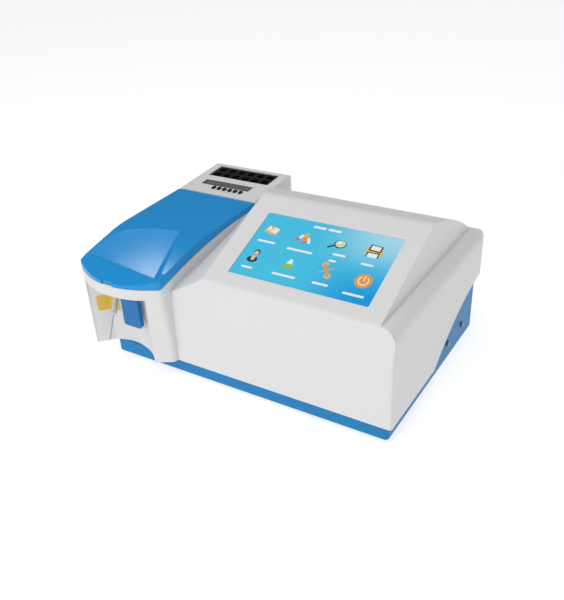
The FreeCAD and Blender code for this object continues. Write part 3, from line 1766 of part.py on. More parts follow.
def lens_tube():
    x0 = cell_x + cell_block_size / 2 - lens_seat
    length = wheel_x - wheel_thickness / 2 - lens_gap - x0
    tube = rod(lens_radius, length, (x0, beam_y, beam_height), (1, 0, 0))
    return tube.cut(rod(lens_radius - lens_wall, length, (x0, beam_y, beam_height), (1, 0, 0)))


def optics_bench():
    """Plate on four square legs with an upright for the filter motor."""
    bench_y = (bench_front, bench_back)
    plate_low = bench_height - bench_plate
    body = box(bench_left, bench_right, *bench_y, plate_low, bench_height)
    half = bench_leg / 2
    for x in (bench_left + bench_leg_inset, bench_right - bench_leg_inset):
        for y in (bench_front + bench_leg_inset, bench_back - bench_leg_inset):
            body = body.fuse(box(x - half, x + half, y - half, y + half, base_floor, plate_low))
    low, high = bench_height - spare, wheel_z + upright_above
    upright = box(upright_x - upright_thickness, upright_x, *bench_y, low, high)
    x0 = upright_x - upright_thickness - spare
    reach = upright_thickness + 2 * spare
    for radius, z in ((lens_radius + shaft_clear, beam_height), (2 * shaft_radius, wheel_z)):
        upright = upright.cut(rod(radius, reach, (x0, beam_y, z), (1, 0, 0)))
    return body.fuse(upright)


def filter_motor():
    half = filter_motor_half
    side_y = (beam_y - half, beam_y + half)
    low = beam_height + snout_radius + seam_gap
    body = box(upright_x, upright_x + filter_motor_length, *side_y, low, wheel_z + half)
    bore = filter_shaft + 2 * spare
    return body.cut(rod(shaft_radius + running_gap, bore, (upright_x, beam_y, wheel_z), (1, 0, 0)))


def filter_wheel():
    """Wheel with eight filter seats, turned by the motor behind the upright."""
    x0 = wheel_x - wheel_thickness / 2
    body = rod(wheel_radius, wheel_thickness, (x0, beam_y, wheel_z), (1, 0, 0))
    shaft = upright_x + filter_shaft - x0
    body = body.fuse(rod(shaft_radius, shaft, (x0, beam_y, wheel_z), (1, 0, 0)))
    for i in range(filter_count):
        angle = 2 * math.pi * i / filter_count
        start = (
            x0 - spare,
            beam_y + wheel_orbit * math.sin(angle),
            wheel_z - wheel_orbit * math.cos(angle),
        )
        reach = wheel_thickness + 2 * spare
        body = body.cut(many_sided(filter_radius, wheel_sides, reach, start, (1, 0, 0)))
    return body


def lamp_housing():
    """Vented box for the lamp with a snout towards the filter wheel."""
    x0, x1 = lamp_box_x
    y0, y1 = lamp_box_y
    thin = lamp_box_wall
    body = box(x0, x1, y0, y1, bench_height, lamp_box_top)
    hollow = box(x0 + thin, x1 - thin, y0 + thin, y1 - thin, bench_height, lamp_box_top - thin)
    start = (snout_x, beam_y, beam_height)
    body = body.fuse(rod(snout_radius, x0 - snout_x + thin / 2, start, (1, 0, 0))).cut(hollow)
    body = body.cut(rod(snout_bore, x0 - snout_x + 2 * thin, start, (1, 0, 0)))
    for i in range(lamp_vents):
        x = (x0 + x1) / 2 + lamp_vent_pitch * (i - (lamp_vents - 1) / 2)
        vent_x = (x - lamp_vent_width / 2, x + lamp_vent_width / 2)
        vent_y = (y0 + 3 * thin, y1 - 3 * thin)
        body = body.cut(box(*vent_x, *vent_y, lamp_box_top - thin - spare, lamp_box_top + spare))
    return body


def halogen_lamp():
    """Small lamp in its ceramic holder."""
    x = (lamp_box_x[0] + lamp_box_x[1]) / 2
    half = lamp_base / 2
    top = beam_height - lamp_base_drop
    holder = box(x - half, x + half, beam_y - half, beam_y + half, bench_height, top)
    return holder.fuse(rod(bulb_radius, bulb_length, (x, beam_y, top), (0, 0, 1)))


def main_board():
    """Circuit board with its larger components."""
    top = board_z + board_thickness
    body = box(*board_x, *board_y, board_z, top)
    for x, y, size_x, size_y, height in board_components:
        x0 = board_x[0] + x
        y0 = board_y[0] + y
        body = body.fuse(box(x0, x0 + size_x, y0, y0 + size_y, top, top + height))
    for x, y, radius, height in board_cans:
        body = body.fuse(rod(radius, height, (board_x[0] + x, board_y[0] + y, top), (0, 0, 1)))
    return body


def power_supply():
    """Closed supply unit with vent slots in its cover."""
    body = box(*supply_x, *supply_y, supply_z, supply_top)
    middle = (supply_x[0] + supply_x[1]) / 2
    vent_y = (supply_y[0] + supply_vent_inset, supply_y[1] - supply_vent_inset)
    for i in range(supply_vents):
        x = middle + supply_vent_pitch * (i - (supply_vents - 1) / 2)
        vent_x = (x - supply_vent_width / 2, x + supply_vent_width / 2)
        body = body.cut(box(*vent_x, *vent_y, supply_top - supply_vent_deep, supply_top))
    return body


parts = {
    "upper_casing": upper_casing(),
    "base_tray": base_tray(),
    "rubber_feet": rubber_feet(),
    "side_screws": side_screws(screw_head),
    "flow_cell_lid": flow_cell_lid(),
    "lid_hinge_pin": lid_hinge_pin(),
    "aspiration_trigger": aspiration_trigger(),
    "trigger_pin": trigger_pin(),
    "trigger_switch": trigger_switch(),
    "probe_nozzle": probe_nozzle(),
    "probe_tube": probe_tube(),
    "touch_glass": touch_glass(),
    "display_module": display_module(),
    "incubator_block": incubator_block(),
    "incubator_heater": incubator_heater(),
    "timer_window": timer_window(),
    "timer_board": timer_board(),
    "printer_door": printer_door(),
    "printer_door_pin": printer_door_pin(),
    "platen_roller": platen_roller(),
    "paper_cradle": paper_cradle(),
    "print_head": print_head(),
    "paper_spindle": paper_spindle(),
    "paper_roll": paper_roll(),
    "rear_panel": rear_panel(),
    "power_inlet": power_inlet(),
    "switch_body": switch_body(),
    "switch_rocker": switch_rocker(),
    "fuse_holder": fuse_holder(),
    "serial_port": serial_port(),
    "usb_port": usb_port(),
    "fan_frame": fan_frame(),
    "fan_rotor": fan_rotor(),
    "fan_guard": fan_guard(),
    "waste_fitting": waste_fitting(),
    "bay_frame": bay_frame(),
    "pump_motor": pump_motor(),
    "pump_head": pump_head(),
    "pump_rotor": pump_rotor(),
    "pump_tube": pump_tube(),
    "flow_cell_block": flow_cell_block(),
    "flow_cell": flow_cell(),
    "detector_board": detector_board(),
    "lens_tube": lens_tube(),
    "optics_bench": optics_bench(),
    "filter_motor": filter_motor(),
    "filter_wheel": filter_wheel(),
    "lamp_housing": lamp_housing(),
    "halogen_lamp": halogen_lamp(),
    "main_board": main_board(),
    "power_supply": power_supply(),
}
for number in range(key_count):
    parts["timer_key_" + str(number + 1)] = timer_key(number)
for number in range(roller_count):
    parts["pump_roller_" + str(number + 1)] = pump_roller(number)

os.makedirs("parts", exist_ok=True)
for name, shape in parts.items():
    shape.exportStep("parts/" + name + ".step")
    print(name, round(shape.Volume, 1), shape.isValid(), len(shape.Solids))
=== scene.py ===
import math

import bpy
from mathutils import Matrix, Vector


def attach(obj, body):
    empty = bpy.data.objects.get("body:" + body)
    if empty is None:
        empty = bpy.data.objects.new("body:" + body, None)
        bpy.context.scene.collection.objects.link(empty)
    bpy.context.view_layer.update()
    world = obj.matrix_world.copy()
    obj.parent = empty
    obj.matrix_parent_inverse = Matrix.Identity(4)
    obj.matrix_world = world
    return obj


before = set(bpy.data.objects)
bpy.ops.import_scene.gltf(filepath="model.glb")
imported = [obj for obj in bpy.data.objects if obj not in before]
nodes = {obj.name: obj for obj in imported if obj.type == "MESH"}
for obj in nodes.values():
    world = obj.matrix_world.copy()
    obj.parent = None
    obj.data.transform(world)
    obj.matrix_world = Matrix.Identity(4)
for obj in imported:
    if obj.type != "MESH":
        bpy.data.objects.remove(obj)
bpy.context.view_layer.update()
print("loaded", len(nodes), "nodes")

mm = 0.001


# Shader groups shared by several finishes

grainLook = {
    "fineDetail": 2.0, "slowScale": 9.0, "slowDetail": 3.0, "middle": 0.5, "edgeSamples": 6,
}


def newGroup(name, ins, outs):
    group = bpy.data.node_groups.new(name, "ShaderNodeTree")
    for label, kind, value in ins:
        socket = group.interface.new_socket(label, in_out="INPUT", socket_type=kind)
        socket.default_value = value
    for label, kind in outs:
        group.interface.new_socket(label, in_out="OUTPUT", socket_type=kind)
    entry = group.nodes.new("NodeGroupInput")
    leave = group.nodes.new("NodeGroupOutput")
    return group, entry, leave


def buildGrainGroup():
    # fine grain of moulded plastic, with a slow drift of tone
    group, entry, leave = newGroup(
        "mouldedGrain",
        [
            ("Color", "NodeSocketColor", (0.8, 0.8, 0.8, 1.0)),
            ("Roughness", "NodeSocketFloat", 0.45),
            ("Grain Size", "NodeSocketFloat", 1800.0),
            ("Tone Drift", "NodeSocketFloat", 0.03),
            ("Roughness Drift", "NodeSocketFloat", 0.06),
        ],
        [
            ("Color", "NodeSocketColor"),
            ("Roughness", "NodeSocketFloat"),
            ("Height", "NodeSocketFloat"),
        ],
    )
    n, l = group.nodes, group.links
    coord = n.new("ShaderNodeTexCoord")
    fine = n.new("ShaderNodeTexNoise")
    fine.inputs["Detail"].default_value = grainLook["fineDetail"]
    slow = n.new("ShaderNodeTexNoise")
    slow.inputs["Scale"].default_value = grainLook["slowScale"]
    slow.inputs["Detail"].default_value = grainLook["slowDetail"]
    l.new(coord.outputs["Object"], fine.inputs["Vector"])
    l.new(coord.outputs["Object"], slow.inputs["Vector"])
    l.new(entry.outputs["Grain Size"], fine.inputs["Scale"])
    centred = n.new("ShaderNodeMath")
    centred.operation = "SUBTRACT"
    centred.inputs[1].default_value = grainLook["middle"]
    l.new(slow.outputs["Fac"], centred.inputs[0])
    tone = n.new("ShaderNodeMath")
    tone.operation = "MULTIPLY_ADD"
    tone.inputs[2].default_value = 1.0
    l.new(centred.outputs[0], tone.inputs[0])
    l.new(entry.outputs["Tone Drift"], tone.inputs[1])
    tint = n.new("ShaderNodeVectorMath")
    tint.operation = "SCALE"
    l.new(entry.outputs["Color"], tint.inputs[0])
    l.new(tone.outputs[0], tint.inputs["Scale"])
    rough = n.new("ShaderNodeMath")
    rough.operation = "MULTIPLY_ADD"
    l.new(centred.outputs[0], rough.inputs[0])
    l.new(entry.outputs["Roughness Drift"], rough.inputs[1])
    l.new(entry.outputs["Roughness"], rough.inputs[2])
    l.new(tint.outputs[0], leave.inputs["Color"])
    l.new(rough.outputs[0], leave.inputs["Roughness"])
    l.new(fine.outputs["Fac"], leave.inputs["Height"])
    return group


grainGroup = buildGrainGroup()


# Finishes

finishes = {}


def makeFinish(name, color, roughness, grainSize=1800.0, grainDepth=0.0, toneDrift=0.03,
               roughnessDrift=0.06, metallic=0.0, coat=0.0, coatRoughness=0.1, ior=1.46,
               transmission=0.0, edge=0.0):
    mat = bpy.data.materials.new(name)
    mat.use_nodes = True
    tree = mat.node_tree
    shader = tree.nodes["Principled BSDF"]
    grain = tree.nodes.new("ShaderNodeGroup")
    grain.node_tree = grainGroup
    grain.inputs["Color"].default_value = (*color, 1.0)
    grain.inputs["Roughness"].default_value = roughness
    grain.inputs["Grain Size"].default_value = grainSize
    grain.inputs["Tone Drift"].default_value = toneDrift
    grain.inputs["Roughness Drift"].default_value = roughnessDrift
    tree.links.new(grain.outputs["Color"], shader.inputs["Base Color"])
    tree.links.new(grain.outputs["Roughness"], shader.inputs["Roughness"])
    normal = None
    if edge > 0:
        soft = tree.nodes.new("ShaderNodeBevel")
        soft.samples = grainLook["edgeSamples"]
        soft.inputs["Radius"].default_value = edge * mm
        normal = soft.outputs["Normal"]
    if grainDepth > 0:
        bump = tree.nodes.new("ShaderNodeBump")
        bump.inputs["Strength"].default_value = 1.0
        bump.inputs["Distance"].default_value = grainDepth * mm
        tree.links.new(grain.outputs["Height"], bump.inputs["Height"])
        if normal:
            tree.links.new(normal, bump.inputs["Normal"])
        normal = bump.outputs["Normal"]
    if normal:
        tree.links.new(normal, shader.inputs["Normal"])
        tree.links.new(normal, shader.inputs["Coat Normal"])
    shader.inputs["Metallic"].default_value = metallic
    shader.inputs["Coat Weight"].default_value = coat
    shader.inputs["Coat Roughness"].default_value = coatRoughness
    shader.inputs["IOR"].default_value = ior
    shader.inputs["Transmission Weight"].default_value = transmission
    mat.diffuse_color = (*color, 1.0)
    finishes[name] = mat


makeFinish("casingWhite", (0.74, 0.74, 0.745), 0.42, grainSize=1500.0, grainDepth=0.012,
           toneDrift=0.02, edge=0.7)
makeFinish("doorWhite", (0.73, 0.73, 0.735), 0.42, grainSize=1500.0, grainDepth=0.012,
           toneDrift=0.02)
makeFinish("baseBlue", (0.012, 0.215, 0.500), 0.42, grainSize=1500.0, grainDepth=0.008, ior=1.3,
           edge=0.6)
makeFinish("lidBlue", (0.006, 0.285, 0.680), 0.55, grainSize=900.0, coat=0.55, coatRoughness=0.12,
           toneDrift=0.05, ior=1.25, edge=0.9)
makeFinish("triggerBlue", (0.006, 0.170, 0.450), 0.40, grainSize=900.0, coat=0.15, ior=1.3,
           edge=0.7)
makeFinish("nozzleGrey", (0.60, 0.61, 0.61), 0.30, coat=0.2)
makeFinish("keyBlack", (0.012, 0.012, 0.013), 0.5)
makeFinish("plasticBlack", (0.022, 0.022, 0.024), 0.42, grainSize=1400.0, grainDepth=0.01)
makeFinish("rubberBlack", (0.025, 0.025, 0.025), 0.72, grainSize=1200.0, grainDepth=0.02)
makeFinish("blockBlack", (0.008, 0.009, 0.010), 0.36, grainSize=2200.0, grainDepth=0.01,
           toneDrift=0.3)
makeFinish("plateGrey", (0.50, 0.51, 0.52), 0.45, grainSize=1300.0, grainDepth=0.02)
makeFinish("steelBright", (0.62, 0.62, 0.63), 0.28, metallic=1.0)
makeFinish("pinGold", (0.70, 0.52, 0.20), 0.30, metallic=1.0)
makeFinish("steelSheet", (0.55, 0.55, 0.56), 0.40, metallic=1.0)
makeFinish("screwDark", (0.30, 0.30, 0.31), 0.35, metallic=1.0)
makeFinish("motorDark", (0.05, 0.05, 0.055), 0.40, metallic=0.4)
makeFinish("headGrey", (0.10, 0.11, 0.12), 0.45)
makeFinish("boardGreen", (0.012, 0.120, 0.050), 0.40)
makeFinish("heaterAmber", (0.62, 0.30, 0.06), 0.40)
makeFinish("paperWhite", (0.80, 0.79, 0.76), 0.80)
makeFinish("rollerWhite", (0.72, 0.71, 0.68), 0.35)
makeFinish("tubeClear", (0.70, 0.66, 0.52), 0.32, coat=0.3)
makeFinish("cellGlass", (0.92, 0.96, 0.97), 0.03, toneDrift=0.0, roughnessDrift=0.0,
           transmission=1.0, ior=1.46)
makeFinish("stickerYellow", (0.78, 0.50, 0.06), 0.38, toneDrift=0.04)
makeFinish("labelGrey", (0.30, 0.31, 0.31), 0.5)
makeFinish("stripGrey", (0.075, 0.082, 0.080), 0.34, coat=0.3)
makeFinish("stripPale", (0.26, 0.28, 0.27), 0.40)
# painted shade: dark crosses on the screw heads stand in for the shade in their cross recesses
makeFinish("paintedRecessShade", (0.10, 0.10, 0.11), 0.6)
makeFinish("pictureWhite", (0.86, 0.89, 0.92), 0.3)
makeFinish("pictureOrange", (0.86, 0.34, 0.04), 0.3)
makeFinish("pictureAmber", (0.82, 0.50, 0.07), 0.3)
makeFinish("pictureDark", (0.03, 0.035, 0.045), 0.3)
makeFinish("picturePink", (0.75, 0.12, 0.28), 0.3)
makeFinish("pictureGreen", (0.30, 0.55, 0.08), 0.3)
makeFinish("pictureSkin", (0.74, 0.56, 0.44), 0.3)
makeFinish("pictureGrey", (0.42, 0.46, 0.50), 0.3)
makeFinish("picturePale", (0.62, 0.72, 0.55), 0.3)


screenLook = {
    "right": (0.055, 0.135), "top": (-0.060, -0.005), "bottom": (-0.030, -0.085),
    "field": (0.060, 0.500, 0.730), "pale": (0.360, 0.660, 0.800), "deep": (0.006, 0.300, 0.680),
    "glow": 0.12, "roughness": 0.16, "coat": 0.4, "coatRoughness": 0.04,
}


def makeScreenFinish():
    # lit field behind glass: blue, paler towards the top right, deeper at the bottom right;
    # each span in screenLook says where a change starts and ends along an object axis, in metres
    mat = bpy.data.materials.new("screenBlue")
    mat.use_nodes = True
    tree = mat.node_tree
    n, l = tree.nodes, tree.links
    shader = n["Principled BSDF"]
    coord = n.new("ShaderNodeTexCoord")
    parts = n.new("ShaderNodeSeparateXYZ")
    l.new(coord.outputs["Object"], parts.inputs[0])

    def ramp(source, span):
        node = n.new("ShaderNodeMapRange")
        node.interpolation_type = "SMOOTHSTEP"
        node.inputs["From Min"].default_value = span[0]
        node.inputs["From Max"].default_value = span[1]
        l.new(source, node.inputs["Value"])
        return node.outputs["Result"]

    def mix(factor, a, b):
        node = n.new("ShaderNodeMix")
        node.data_type = "RGBA"
        l.new(factor, node.inputs["Factor"])
        for socket, value in ((node.inputs[6], a), (node.inputs[7], b)):
            if isinstance(value, tuple):
                socket.default_value = (*value, 1.0)
            else:
                l.new(value, socket)
        return node.outputs[2]

    def product(a, b):
        node = n.new("ShaderNodeMath")
        node.operation = "MULTIPLY"
        l.new(a, node.inputs[0])
        l.new(b, node.inputs[1])
        return node.outputs[0]

    toRight = ramp(parts.outputs["X"], screenLook["right"])
    toTop = ramp(parts.outputs["Y"], screenLook["top"])
    toBottom = ramp(parts.outputs["Y"], screenLook["bottom"])
    field = mix(product(toRight, toTop), screenLook["field"], screenLook["pale"])
    field = mix(product(toRight, toBottom), field, screenLook["deep"])
    l.new(field, shader.inputs["Base Color"])
    l.new(field, shader.inputs["Emission Color"])
    shader.inputs["Emission Strength"].default_value = screenLook["glow"]
    shader.inputs["Roughness"].default_value = screenLook["roughness"]
    shader.inputs["Coat Weight"].default_value = screenLook["coat"]
    shader.inputs["Coat Roughness"].default_value = screenLook["coatRoughness"]
    mat.diffuse_color = (0.06, 0.5, 0.73, 1.0)
    finishes["screenBlue"] = mat


makeScreenFinish()

nodeFinish = {
    "casingWhite": ["upper_casing"],
    "doorWhite": ["printer_door"],
    "baseBlue": ["base_tray"],
    "lidBlue": ["flow_cell_lid"],
    "triggerBlue": ["aspiration_trigger"],
    "nozzleGrey": ["probe_nozzle"],
    "rubberBlack": ["rubber_feet", "platen_roller"],
    "plasticBlack": [
        "trigger_switch", "print_head", "power_inlet", "switch_body", "switch_rocker",
        "fuse_holder", "fan_frame", "fan_rotor",
    ],
    "blockBlack": ["incubator_block", "flow_cell_block", "lens_tube", "filter_wheel"],
    "plateGrey": ["rear_panel"],
    "stripGrey": ["timer_window"],
    "steelBright": [
        "lid_hinge_pin", "trigger_pin", "probe_tube", "printer_door_pin", "fan_guard",
        "serial_port", "usb_port",
    ],
    "steelSheet": [
        "display_module", "bay_frame", "optics_bench", "lamp_housing", "power_supply",
    ],
    "screwDark": ["side_screws"],
    "motorDark": ["pump_motor", "filter_motor"],
    "headGrey": ["pump_head", "pump_rotor", "paper_cradle", "paper_spindle"],
    "boardGreen": ["timer_board", "detector_board", "main_board"],
    "heaterAmber": ["incubator_heater"],
    "paperWhite": ["paper_roll"],
    "rollerWhite": [
        "pump_roller_1", "pump_roller_2", "pump_roller_3", "waste_fitting", "halogen_lamp",
    ],
    "tubeClear": ["pump_tube"],
    "cellGlass": ["flow_cell"],
    "screenBlue": ["touch_glass"],
    "keyBlack": ["timer_key_" + str(i) for i in range(1, 7)],
}
for finish, names in nodeFinish.items():
    for name in names:
        for slot in nodes[name].material_slots:
            slot.material = finishes[finish]
print("finishes set")


# Helpers for added pieces

slopes = {
    # y and z of the face's low or back edge in mm, and its slope in degrees
    "panel": (-105.5, 126.3, 21.4), "tower": (139.5, 149.2, 4.3),
}


def slopeMatrix(y, z, angle):
    # local x to the right, y up the slope, z out of the face
    return Matrix.Translation((0.0, y * mm, z * mm)) @ Matrix.Rotation(math.radians(angle), 4, "X")


panelPlace = slopeMatrix(*slopes["panel"])
towerPlace = slopeMatrix(*slopes["tower"])


def addMesh(name, verts, faces, mats, indices=None):
    mesh = bpy.data.meshes.new(name)
    mesh.from_pydata(verts, [], faces)
    for mat in mats:
        mesh.materials.append(finishes[mat])
    if indices:
        for face, index in zip(mesh.polygons, indices):
            face.material_index = index
    mesh.update()
    obj = bpy.data.objects.new(name, mesh)
    bpy.context.scene.collection.objects.link(obj)
    return obj


def slabSet(name, slabs, place, body="housing"):
    # slabs: (outline in mm counterclockwise, low, high, finish); one closed prism each
    verts, faces, indices, mats = [], [], [], []
    for outline, low, high, mat in slabs:
        if mat not in mats:
            mats.append(mat)
        index = mats.index(mat)
        start, count = len(verts), len(outline)
        for z in (low, high):
            for x, y in outline:
                verts.append(place @ Vector((x * mm, y * mm, z * mm)))
        faces.append([start + i for i in reversed(range(count))])
        faces.append([start + count + i for i in range(count)])
        for i in range(count):
            j = (i + 1) % count
            faces.append([start + i, start + j, start + count + j, start + count + i])
        indices += [index] * (count + 2)
    obj = addMesh(name, verts, faces, mats, indices)
    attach(obj, body)


def disc(x, y, rx, ry=None, count=28, start=0.0, sweep=360.0):
    ry = rx if ry is None else ry
    steps = count if sweep >= 360.0 else count + 1
    return [
        (
            x + rx * math.cos(math.radians(start + sweep * i / count)),
            y + ry * math.sin(math.radians(start + sweep * i / count)),
        )
        for i in range(steps)
    ]


def arcBand(x, y, inner, outer, start, sweep, count=24):
    outside = disc(x, y, outer, count=count, start=start, sweep=sweep)
    inside = disc(x, y, inner, count=count, start=start, sweep=sweep)
    return outside + inside[::-1]


def bar(x, y, length, breadth, angle=0.0):
    c, s = math.cos(math.radians(angle)), math.sin(math.radians(angle))
    corners = [(-length / 2, -breadth / 2), (length / 2, -breadth / 2),
               (length / 2, breadth / 2), (-length / 2, breadth / 2)]
    return [(x + c * a - s * b, y + s * a + c * b) for a, b in corners]


def pill(x, y, length, breadth):
    r = breadth / 2
    right = disc(x + length / 2 - r, y, r, count=8, start=-90.0, sweep=180.0)
    leftEnd = disc(x - length / 2 + r, y, r, count=8, start=90.0, sweep=180.0)
    return right + leftEnd


# Picture on the touch screen

screen = {
    "left": -9.2, "bottom": 19.0, "width": 154.0, "height": 88.0,
    "glassTop": -0.8, "layer": 0.05, "captionHeight": 2.6,
}


def at(u, v):
    # place on the glass in mm, from shares of its width and height
    return screen["left"] + u * screen["width"], screen["bottom"] + v * screen["height"]


def screenPicture():
    base = screen["glassTop"]
    step = screen["layer"]
    slabs = []

    def add(outline, mat, layer=1):
        slabs.append((outline, base + step * (layer - 1), base + step * layer, mat))

    def caption(u, v, length):
        x, y = at(u, v)
        add(pill(x, y, length, screen["captionHeight"]), "pictureWhite")

    x, y = at(0.47, 0.925)
    add(pill(x - 8.5, y, 15.0, 3.0), "pictureWhite")
    add(pill(x + 8.5, y, 15.0, 3.0), "pictureWhite")

    x, y = at(0.105, 0.745)  # clipboard
    add(bar(x, y - 1.0, 15.0, 9.0, -14.0), "pictureAmber")
    add(bar(x + 0.6, y + 0.6, 12.0, 7.2, -14.0), "pictureWhite", 2)
    add(bar(x - 0.5, y + 0.2, 8.0, 1.0, 35.0), "pictureOrange", 3)
    add(disc(x - 1.5, y + 4.2, 1.8), "pictureGreen", 3)
    caption(0.115, 0.555, 21.0)

    x, y = at(0.355, 0.73)  # three tubes
    add(bar(x - 4.5, y - 0.5, 8.5, 3.2, 62.0), "pictureWhite")
    add(disc(x - 6.3, y - 3.4, 2.3), "picturePink", 2)
    add(bar(x + 1.0, y + 2.0, 9.0, 4.4, 88.0), "pictureAmber")
    add(disc(x + 1.2, y - 1.6, 2.9), "pictureOrange", 2)
    add(bar(x + 6.0, y - 2.6, 8.0, 3.0, -62.0), "pictureWhite")
    add(disc(x + 2.4, y - 6.2, 2.2), "picturePink", 3)
    caption(0.375, 0.530, 29.0)

    x, y = at(0.605, 0.755)  # magnifier
    add(disc(x + 1.0, y - 0.6, 6.4, 5.6), "pictureDark")
    add(disc(x + 1.2, y - 0.2, 5.4, 4.7), "picturePale", 2)
    add(disc(x, y + 1.0, 2.2, 1.6), "pictureWhite", 3)
    add(bar(x - 7.4, y - 5.6, 7.0, 2.0, 38.0), "pictureDark")
    caption(0.645, 0.590, 14.0)
    caption(0.625, 0.490, 8.0)

    x, y = at(0.850, 0.735)  # printer
    add(bar(x, y, 17.0, 8.0), "pictureAmber")
    add(bar(x, y + 5.0, 13.0, 8.0, -4.0), "pictureDark", 2)
    add(bar(x, y + 5.2, 10.0, 5.6, -4.0), "pictureWhite", 3)
    add(bar(x, y - 3.8, 13.0, 6.6), "pictureDark", 2)
    add(bar(x, y - 4.4, 10.5, 5.4), "pictureWhite", 3)
    caption(0.850, 0.545, 13.0)

    x, y = at(0.100, 0.330)  # head and shoulders
    add(disc(x, y - 6.0, 5.8, 4.2), "pictureDark")
    add(disc(x + 0.2, y - 3.6, 2.2, 4.2), "pictureSkin", 2)
    add(disc(x + 0.6, y + 3.6, 3.5, 4.0), "pictureDark", 1)
    add(disc(x + 0.5, y + 2.2, 2.6, 3.4), "pictureSkin", 2)
    caption(0.100, 0.135, 13.0)

    x, y = at(0.365, 0.320)  # flask
    glass = [(-5.6, -6.0), (5.0, -6.6), (1.6, 5.6), (-1.0, 5.8)]
    liquid = [(-5.9, -6.2), (5.3, -6.8), (3.4, -0.6), (-3.6, -0.4)]
    add([(x + a, y + b) for a, b in glass], "pictureWhite")
    add([(x + a, y + b) for a, b in liquid], "pictureGreen", 2)
    caption(0.375, 0.140, 26.0)

    x, y = at(0.625, 0.350)  # crossed tools
    add(bar(x, y, 17.0, 1.6, 33.0), "pictureGrey")
    add(bar(x, y - 0.5, 15.0, 3.2, -58.0), "pictureOrange", 2)
    add(arcBand(x - 4.2, y + 6.2, 1.5, 3.4, -20.0, 290.0), "pictureAmber", 3)
    add(arcBand(x + 4.2, y - 7.2, 1.5, 3.4, 160.0, 290.0), "pictureAmber", 3)
    caption(0.635, 0.145, 17.0)

    x, y = at(0.885, 0.320)  # power button
    add(disc(x, y, 8.6, count=40), "pictureOrange")
    add(arcBand(x, y, 4.4, 5.6, 125.0, 290.0, 32), "pictureWhite", 2)
    add(bar(x, y + 3.2, 1.3, 6.0), "pictureWhite", 3)
    caption(0.870, 0.110, 22.0)
    slabSet("screenPicture", slabs, panelPlace)


screenPicture()
print("screen picture done")


# Small marks on the tower

marks = {
    "firstKeyX": -140.0, "keyPitch": 7.85, "keyCount": 6, "labelY": -74.6, "labelLength": 4.2,
    "labelBreadth": 0.7, "thickness": 0.05,
}


def keyMarks():
    slabs = []
    for i in range(marks["keyCount"]):
        x = marks["firstKeyX"] + i * marks["keyPitch"]
        outline = bar(x, marks["labelY"], marks["labelLength"], marks["labelBreadth"])
        slabs.append((outline, 0.0, marks["thickness"], "labelGrey"))
    slabSet("keyMarks", slabs, towerPlace)


keyMarks()


# Blank yellow sticker on the left wall of the probe recess

sticker = {
    "flat": ((-170.4, -119.3), (-160.8, -108.9)), "center": (-136.5, -165.5), "radius": 61.6,
    "arc": (113.2, 102.5), "arcSteps": 8, "topLeft": 79.4, "topRight": 79.0,
    "bottomLeft": 60.2, "bottomRight": 58.4, "thickness": 0.12,
}


def stickerSheet():
    # follows the wall from its flat part round the start of its curve
    path = [Vector(p) for p in sticker["flat"]]
    middle = Vector(sticker["center"])
    first, last = sticker["arc"]
    for i in range(1, sticker["arcSteps"] + 1):
        angle = math.radians(first + (last - first) * i / sticker["arcSteps"])
        path.append(middle + sticker["radius"] * Vector((math.cos(angle), math.sin(angle))))
    verts, faces = [], []
    for i, p in enumerate(path):
        share = i / (len(path) - 1)
        ahead = path[min(i + 1, len(path) - 1)] - path[max(i - 1, 0)]
        out = Vector((ahead.y, -ahead.x)).normalized()
        low = sticker["bottomLeft"] + share * (sticker["bottomRight"] - sticker["bottomLeft"])
        high = sticker["topLeft"] + share * (sticker["topRight"] - sticker["topLeft"])
        for lift in (0.0, sticker["thickness"]):
            q = p + lift * out
            for z in (low, high):
                verts.append((q.x * mm, q.y * mm, z * mm))
    for i in range(len(path) - 1):
        a, b = 4 * i, 4 * i + 4
        faces.append((a + 2, b + 2, b + 3, a + 3))
        faces.append((a + 1, b + 1, b, a))
        faces.append((a + 3, b + 3, b + 1, a + 1))
        faces.append((a, b, b + 2, a + 2))
    end = 4 * (len(path) - 1)
    faces.append((0, 2, 3, 1))
    faces.append((end + 1, end + 3, end + 2, end))
    obj = addMesh("recessSticker", verts, faces, ["stickerYellow"])
    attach(obj, "housing")


stickerSheet()


# Repeated small pieces, placed by Geometry Nodes and then made plain meshes

cellVary = {"least": (0.45, 0.55, 1.0), "most": (1.0, 1.0, 1.0), "seed": 7}


def repeatGroup(name, makeItem, ins, vary=None):
    # the points come with the object; makeItem builds one item from the named inputs
    tree = bpy.data.node_groups.new(name, "GeometryNodeTree")
    tree.interface.new_socket("Geometry", in_out="INPUT", socket_type="NodeSocketGeometry")
    for label, kind, value in ins:
        socket = tree.interface.new_socket(label, in_out="INPUT", socket_type=kind)
        if value is not None:
            socket.default_value = value
    tree.interface.new_socket("Geometry", in_out="OUTPUT", socket_type="NodeSocketGeometry")
    n, l = tree.nodes, tree.links
    entry = n.new("NodeGroupInput")
    leave = n.new("NodeGroupOutput")
    points = n.new("GeometryNodeMeshToPoints")
    l.new(entry.outputs["Geometry"], points.inputs["Mesh"])
    place = n.new("GeometryNodeInstanceOnPoints")
    l.new(points.outputs["Points"], place.inputs["Points"])
    l.new(makeItem(n, l, entry), place.inputs["Instance"])
    l.new(entry.outputs["Turn"], place.inputs["Rotation"])
    if vary:
        draw = n.new("FunctionNodeRandomValue")
        draw.data_type = "FLOAT_VECTOR"
        draw.inputs["Min"].default_value = vary["least"]
        draw.inputs["Max"].default_value = vary["most"]
        draw.inputs["Seed"].default_value = vary["seed"]
        l.new(draw.outputs[0], place.inputs["Scale"])
    real = n.new("GeometryNodeRealizeInstances")
    l.new(place.outputs["Instances"], real.inputs["Geometry"])
    paint = n.new("GeometryNodeSetMaterial")
    l.new(real.outputs["Geometry"], paint.inputs["Geometry"])
    l.new(entry.outputs["Finish"], paint.inputs["Material"])
    l.new(paint.outputs["Geometry"], leave.inputs["Geometry"])
    return tree


